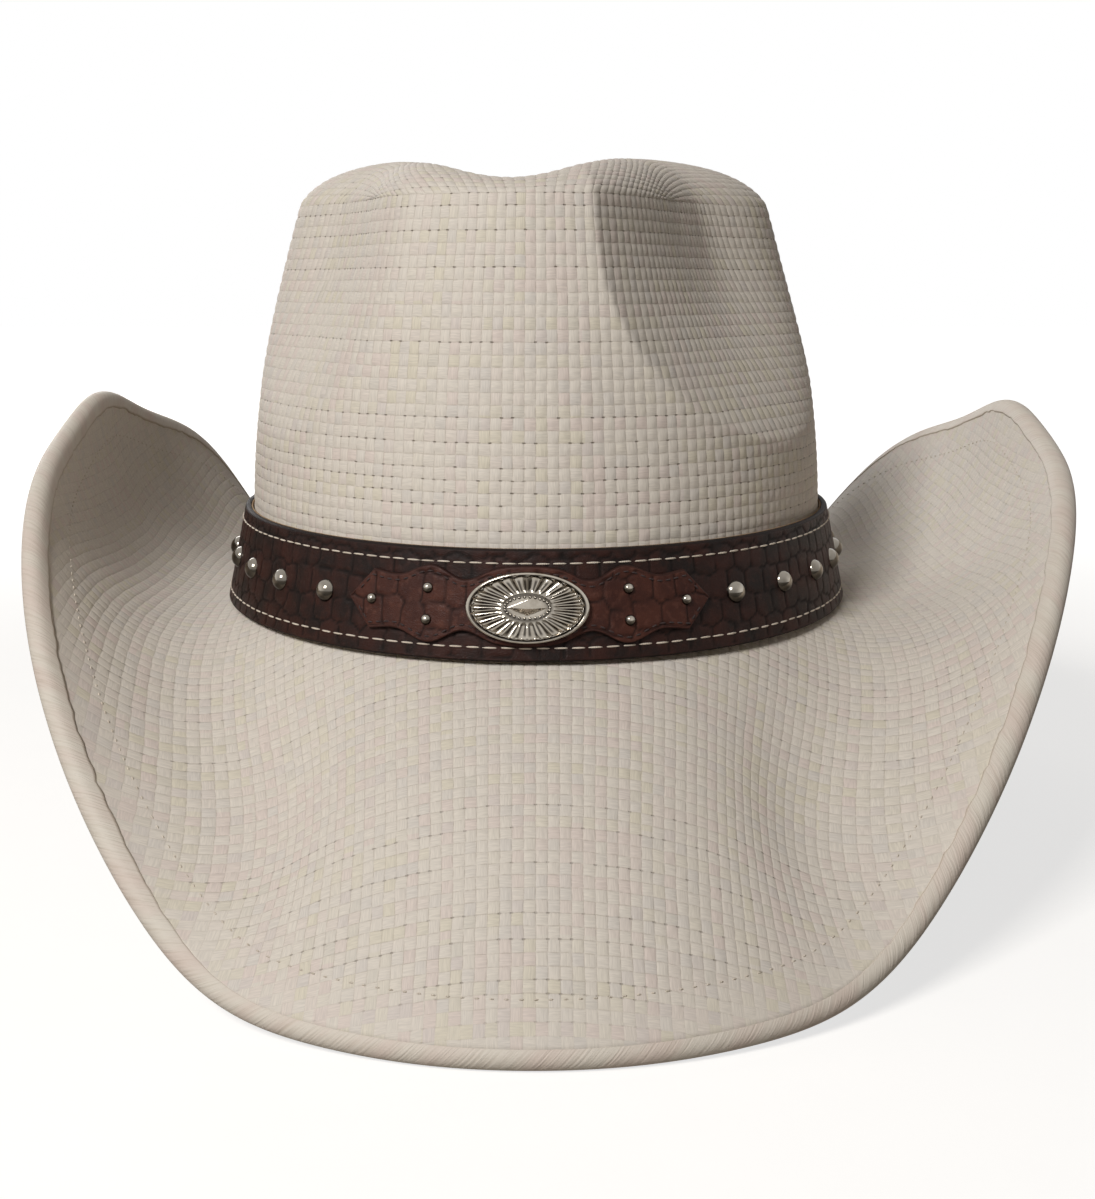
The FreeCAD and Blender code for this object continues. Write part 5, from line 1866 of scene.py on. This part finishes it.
@dataclass
class Studs:
    """Domed studs and rivets: caps of a sphere with a short edge in the leather."""

    form: BandForm = field(default_factory=BandForm)
    dome: tuple[float, float] = (6.0, 2.2)
    bead: tuple[float, float] = (2.8, 1.2)
    rivet: tuple[float, float] = (5.0, 1.0)
    first: float = 57.2
    pitch: float = 20.6
    count: int = 12
    bead_places: tuple[tuple[float, float], ...] = ((24.8, 3.8), (24.8, -3.8), (40.3, 0.0))
    rivet_places: tuple[tuple[float, float], ...] = ((-8.5, 7.5), (-8.5, -7.5), (8.5, 7.5), (8.5, -7.5))

    def cap(self, mesh: Mesh, seats: tuple[Array, Array, Array, Array], diameter: float,
            rise: float, sides: int = 28, rings: int = 9) -> None:
        """Add caps: a spherical arc turned about each seat's outward axis, with a flat back.

        The mask grows from each cap's top to its edge as patina, and is strongest on the lower side, where
        it is painted shade.

        Args:
            mesh: the piece to add to.
            seats: places and directions around, up and out.
            diameter: width of a cap.
            rise: height of a cap.
            sides: points round a cap.
            rings: rings from its top to its edge.
        """
        radius = diameter / 2
        sphere = (radius ** 2 + rise ** 2) / (2 * rise)
        tilt = np.arccos((sphere - rise) / sphere) * np.linspace(0, 1, rings)
        reach = np.concatenate([sphere * np.sin(tilt), [radius, 0.0]])
        lift = np.concatenate([sphere * np.cos(tilt) - sphere + rise, [-0.3, -0.3]])
        turn = np.linspace(0, 2 * np.pi, sides, endpoint=False)
        # Painted shade on each cap's lower side, on top of the patina towards its edge.
        lower = 0.5 - 0.5 * np.sin(turn)[None]
        patina_and_lower_shade = smooth((reach[:, None] / radius - 0.1) / 0.55) * (0.4 + 0.6 * lower)
        for place, around, upward, outward in zip(*seats):
            flat = around * np.cos(turn)[:, None] + upward * np.sin(turn)[:, None]
            points = place + flat[None] * reach[:, None, None] + outward * lift[:, None, None]
            mesh.grid(points, closed=True, mask=patina_and_lower_shade)

    def build(self) -> None:
        """Studs of both sides, the small ones on the overlay, and the tab's rivets."""
        nickel = NICKEL.material()
        middle = self.form.height / 2
        for side in Side:
            word = side.name.lower()
            arc = self.form.overlay_middle + side.value * (self.first + self.pitch * np.arange(self.count))
            mesh = Mesh(f"dome_stud_caps_{word}")
            seats = self.form.seat(arc, np.full(self.count, middle), self.form.strap_face)
            self.cap(mesh, seats, *self.dome)
            mesh.build(nickel, BAND, "polished_nickel", (f"dome_studs_{word}",))
            places = np.array(self.bead_places)
            seats = self.form.seat(self.form.overlay_middle + side.value * places[:, 0],
                                   middle + places[:, 1], self.form.overlay_face)
            mesh = Mesh(f"overlay_stud_caps_{word}")
            self.cap(mesh, seats, *self.bead, sides=20, rings=7)
            mesh.build(nickel, BAND, "polished_nickel", (f"overlay_studs_{word}",))
        places = np.array(self.rivet_places)
        seats = self.form.seat(places[:, 0], middle + places[:, 1], self.form.overlay_face)
        turned = tuple(part * np.array([-1.0, -1.0, 1.0]) for part in seats)
        mesh = Mesh("back_tab_rivet_caps")
        self.cap(mesh, turned, *self.rivet)
        mesh.build(nickel, BAND, "polished_nickel", ("back_tab_rivets",))


@dataclass
class Concho:
    """Oval ornament: plain rim, fan of flutes with scalloped ends, beads and a diamond."""

    form: BandForm = field(default_factory=BandForm)
    half_long: float = 14.7
    half_short: float = 8.4
    flutes: int = 26
    field_start: float = 0.4
    diamond: tuple[float, float, float] = (4.6, 1.8, 1.5)
    beads: int = 26
    bead_size: tuple[float, float] = (0.8, 0.45)
    bead_ring: tuple[float, float] = (5.3, 2.55)
    bead_seat: float = 1.05
    groove_place: float = 0.925
    lip_place: float = 0.865
    rim_start: float = 0.9
    rim_middle: float = 0.955
    rim_half: float = 0.05

    def lobe(self, turn: Array) -> Array:
        """Place within a flute: 0 on the ridge between two flutes and 1 in its middle."""
        return np.abs(np.cos(turn * self.flutes / 2))

    def patina(self, reach: Array, turn: Array) -> Array:
        """Where polish has not reached: both flanks of each flute, the groove inside the
        rim and the ring round the diamond.

        Args:
            reach: share of the way from the middle to the rim.
            turn: angles round the ornament.

        Returns:
            Mask from 0 to 1.
        """
        lobe = self.lobe(turn)
        flute = smooth((lobe - 0.2) / 0.3) * (1 - 0.85 * smooth((lobe - 0.82) / 0.12))
        flute = flute * smooth((reach - self.field_start) / 0.1) * smooth((0.84 - reach) / 0.1)
        groove = smooth(1 - np.abs(reach - self.groove_place) / 0.035)
        ring = smooth(1 - np.abs(reach - self.field_start + 0.04) / 0.1)
        return np.maximum(np.maximum(flute * 0.9, groove), ring * 0.8)

    def height(self, reach: Array, turn: Array) -> Array:
        """Height over the back of the plate.

        A rounded rim, a groove, then a saucer whose flutes are hollows of a cosine
        and end in a scalloped lip, and a pyramid in the middle.

        Args:
            reach: share of the way from the middle to the rim.
            turn: angles round the ornament.

        Returns:
            Heights.
        """
        lobe = self.lobe(turn)
        lip = self.lip_place + 0.045 * lobe ** 0.6
        across = (reach - self.rim_middle) / self.rim_half
        rim = 1.0 + 0.75 * np.sqrt(np.clip(1 - across ** 2, 0, 1))
        saucer = smooth((reach - self.field_start) / (lip - self.field_start))
        hollow = lobe ** 1.4 * smooth((reach - self.field_start) / 0.12)
        hollow = hollow * (0.28 + 0.5 * saucer) * smooth((lip - reach) / 0.05)
        field_height = 1.15 + 0.75 * saucer - hollow
        inside = smooth((lip - reach) / 0.022)
        height = np.where(reach > self.rim_start, rim, 1.0)
        height = height * (1 - inside) + field_height * inside
        x, z = reach * self.half_long * np.cos(turn), reach * self.half_short * np.sin(turn)
        long, wide, tall = self.diamond
        pyramid = 1.0 + tall * (1 - np.abs(x) / long - np.abs(z) / wide)
        return np.where(reach < self.field_start, np.maximum(pyramid, 1.0), height)

    def build(self) -> None:
        """Curved plate with its relief, beads round the diamond, and a flat back."""
        columns = self.flutes * 14
        turn = 2 * np.pi * np.arange(columns) / columns
        reach = np.concatenate([np.linspace(0.0, 0.84, 46), np.linspace(0.85, 0.998, 26), [1.0]])
        height = self.height(reach[:, None], turn[None])
        height[-1] = 0.4
        patina = self.patina(reach[:, None], turn[None])
        back = np.full((1, columns), 0.0)
        reach = np.concatenate([reach, [1.0, 0.0]])
        height = np.concatenate([height, back, back])
        arc = self.form.overlay_middle + reach[:, None] * self.half_long * np.cos(turn)
        lift = reach[:, None] * self.half_short * np.sin(turn)
        points = self.form.point(self.form.angle_at(arc), self.form.height / 2 + lift,
                                 self.form.plate_back + height)
        mesh = Mesh("concho_oval")
        mesh.grid(points, closed=True, mask=np.concatenate([patina, back, back]))
        ring = 2 * np.pi * np.arange(self.beads) / self.beads
        seats = self.form.seat(self.form.overlay_middle + self.bead_ring[0] * np.cos(ring),
                               self.form.height / 2 + self.bead_ring[1] * np.sin(ring),
                               self.form.plate_back + self.bead_seat)
        Studs().cap(mesh, seats, *self.bead_size, sides=10, rings=5)
        mesh.build(NICKEL.material(), BAND, "polished_nickel", ("concho",), crease=40.0)


@dataclass
class HiddenHardware:
    """Pieces whose solids already have their shape: wire, sleeve, posts and washers."""

    steel: tuple[str, ...] = (
        "brim_wire", "concho_posts", "concho_post_backs", "dome_stud_backs_left",
        "dome_stud_backs_right", "overlay_stud_backs_left", "overlay_stud_backs_right",
        "back_tab_rivet_backs")

    sleeve: str = "wire_sleeve"

    def build(self) -> None:
        """Give each kept node its finish."""
        finishes = dict.fromkeys(self.steel, STEEL.material())
        finishes[self.sleeve] = PlasticFinish().material()
        for name, finish in finishes.items():
            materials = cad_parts[name].data.materials
            materials.clear()
            materials.append(finish)
            LOG.info("%s: kept solid", name)


@dataclass
class Studio:
    """Pale floor, soft lamps, and the camera at the photograph's angle."""

    camera_place: tuple[float, float, float] = (-0.0046, -0.500, 0.1594)
    camera_tilt: float = 79.2
    camera_yaw: float = -0.28
    lens: float = 49.42
    aim: tuple[float, float, float] = (0.0, 0.0, 0.09)
    key: tuple[tuple[float, float, float], float, float] = ((-0.74, -1.24, 1.2), 0.5, 26.5)
    back: tuple[tuple[float, float, float], float, float] = ((-0.75, 1.8, 0.5), 0.9, 10.0)
    fill: float = 0.075
    fill_colour: tuple[float, float, float, float] = (1.0, 0.86, 0.7, 1.0)
    floor_half: float = 6.0
    paper: tuple[tuple[float, float, float, float], ...] = (
        linear(174, 170, 164), linear(170, 166, 160))
    floor_glow: tuple[float, float] = (0.72, 1.0)
    glow_reach: tuple[float, float] = (0.25, 0.9)

    def camera(self) -> None:
        """Camera that sees the hat as the photograph does."""
        data = bpy.data.cameras.new("camera")
        data.lens = self.lens
        data.clip_start = 0.01
        eye = bpy.data.objects.new("camera", data)
        eye.location = self.camera_place
        eye.rotation_euler = (math.radians(self.camera_tilt), 0.0, math.radians(self.camera_yaw))
        bpy.context.scene.collection.objects.link(eye)
        bpy.context.scene.camera = eye

    def lamp(self, name: str, place: tuple[float, float, float], size: float, watts: float) -> None:
        """Square soft lamp that points at the hat's middle.

        Args:
            name: name of the lamp.
            place: where it stands, in metres.
            size: side of its square, in metres.
            watts: its power.
        """
        data = bpy.data.lights.new(name, "AREA")
        data.size = size
        data.energy = watts
        lamp = bpy.data.objects.new(name, data)
        away = np.array(place) - np.array(self.aim)
        lamp.location = place
        flat = math.hypot(away[0], away[1])
        lamp.rotation_euler = (math.atan2(flat, away[2]), 0.0, math.atan2(away[0], -away[1]))
        bpy.context.scene.collection.objects.link(lamp)

    def surroundings(self) -> None:
        """White to the camera and to reflections, a soft warm fill to everything else."""
        world = bpy.data.worlds.new("studio")
        world.use_nodes = True
        graph = Graph(world.node_tree)
        backdrop = world.node_tree.nodes["Background"]
        path = graph.node("ShaderNodeLightPath")
        seen = graph.math("MAXIMUM", path.outputs["Is Camera Ray"], path.outputs["Is Glossy Ray"])
        seen = graph.math("MAXIMUM", seen, path.outputs["Is Transmission Ray"])
        graph.feed(backdrop.inputs["Strength"], graph.mix(seen, self.fill, 1.0))
        graph.feed(backdrop.inputs["Color"], graph.tint(seen, self.fill_colour, (1.0, 1.0, 1.0, 1.0)))
        bpy.context.scene.world = world

    def floor(self) -> None:
        """Plain floor that shows white but keeps the hat's shadow."""
        half = self.floor_half
        mesh = bpy.data.meshes.new("floor")
        corners = [(-half, -half, 0), (half, -half, 0), (half, half, 0), (-half, half, 0)]
        mesh.from_pydata(corners, [], [(0, 1, 2, 3)])
        material, graph, shader = new_material("floor_paper")
        speck = graph.noise(graph.node("ShaderNodeTexCoord").outputs["Object"], 60.0, 3.0)
        seen = graph.node("ShaderNodeLightPath").outputs["Is Camera Ray"]
        shade = graph.tint(speck, *self.paper)
        graph.feed(shader.inputs["Base Color"], shade)
        away = graph.node("ShaderNodeVectorMath", operation="LENGTH")
        graph.feed(away.inputs[0], graph.node("ShaderNodeTexCoord").outputs["Object"])
        glow = graph.ease(away.outputs["Value"], *self.glow_reach, *self.floor_glow)
        graph.feed(shader.inputs["Emission Strength"], graph.math("MULTIPLY", glow, seen))
        shader.inputs["Emission Color"].default_value = (1.0, 1.0, 1.0, 1.0)
        shader.inputs["Roughness"].default_value = 0.9
        shader.inputs["Specular IOR Level"].default_value = 0.0
        mesh.materials.append(material)
        floor = bpy.data.objects.new("floor", mesh)
        bpy.context.scene.collection.objects.link(floor)

    def build(self) -> None:
        """Everything round the hat."""
        self.camera()
        self.surroundings()
        self.floor()
        self.lamp("key", *self.key)
        self.lamp("back", *self.back)
        bpy.context.scene.view_settings.view_transform = "Standard"


def main() -> None:
    """Build every sub-assembly in order, then the studio."""
    logging.basicConfig(level=logging.INFO, format="%(name)s: %(message)s")
    for part in (Crown(), Brim(), Hem(), Sweatband(), Strap(), Overlay(), BackTab(), Studs(),
                 Concho(), HiddenHardware(), Studio()):
        part.build()


if __name__ == "__main__":
    main()
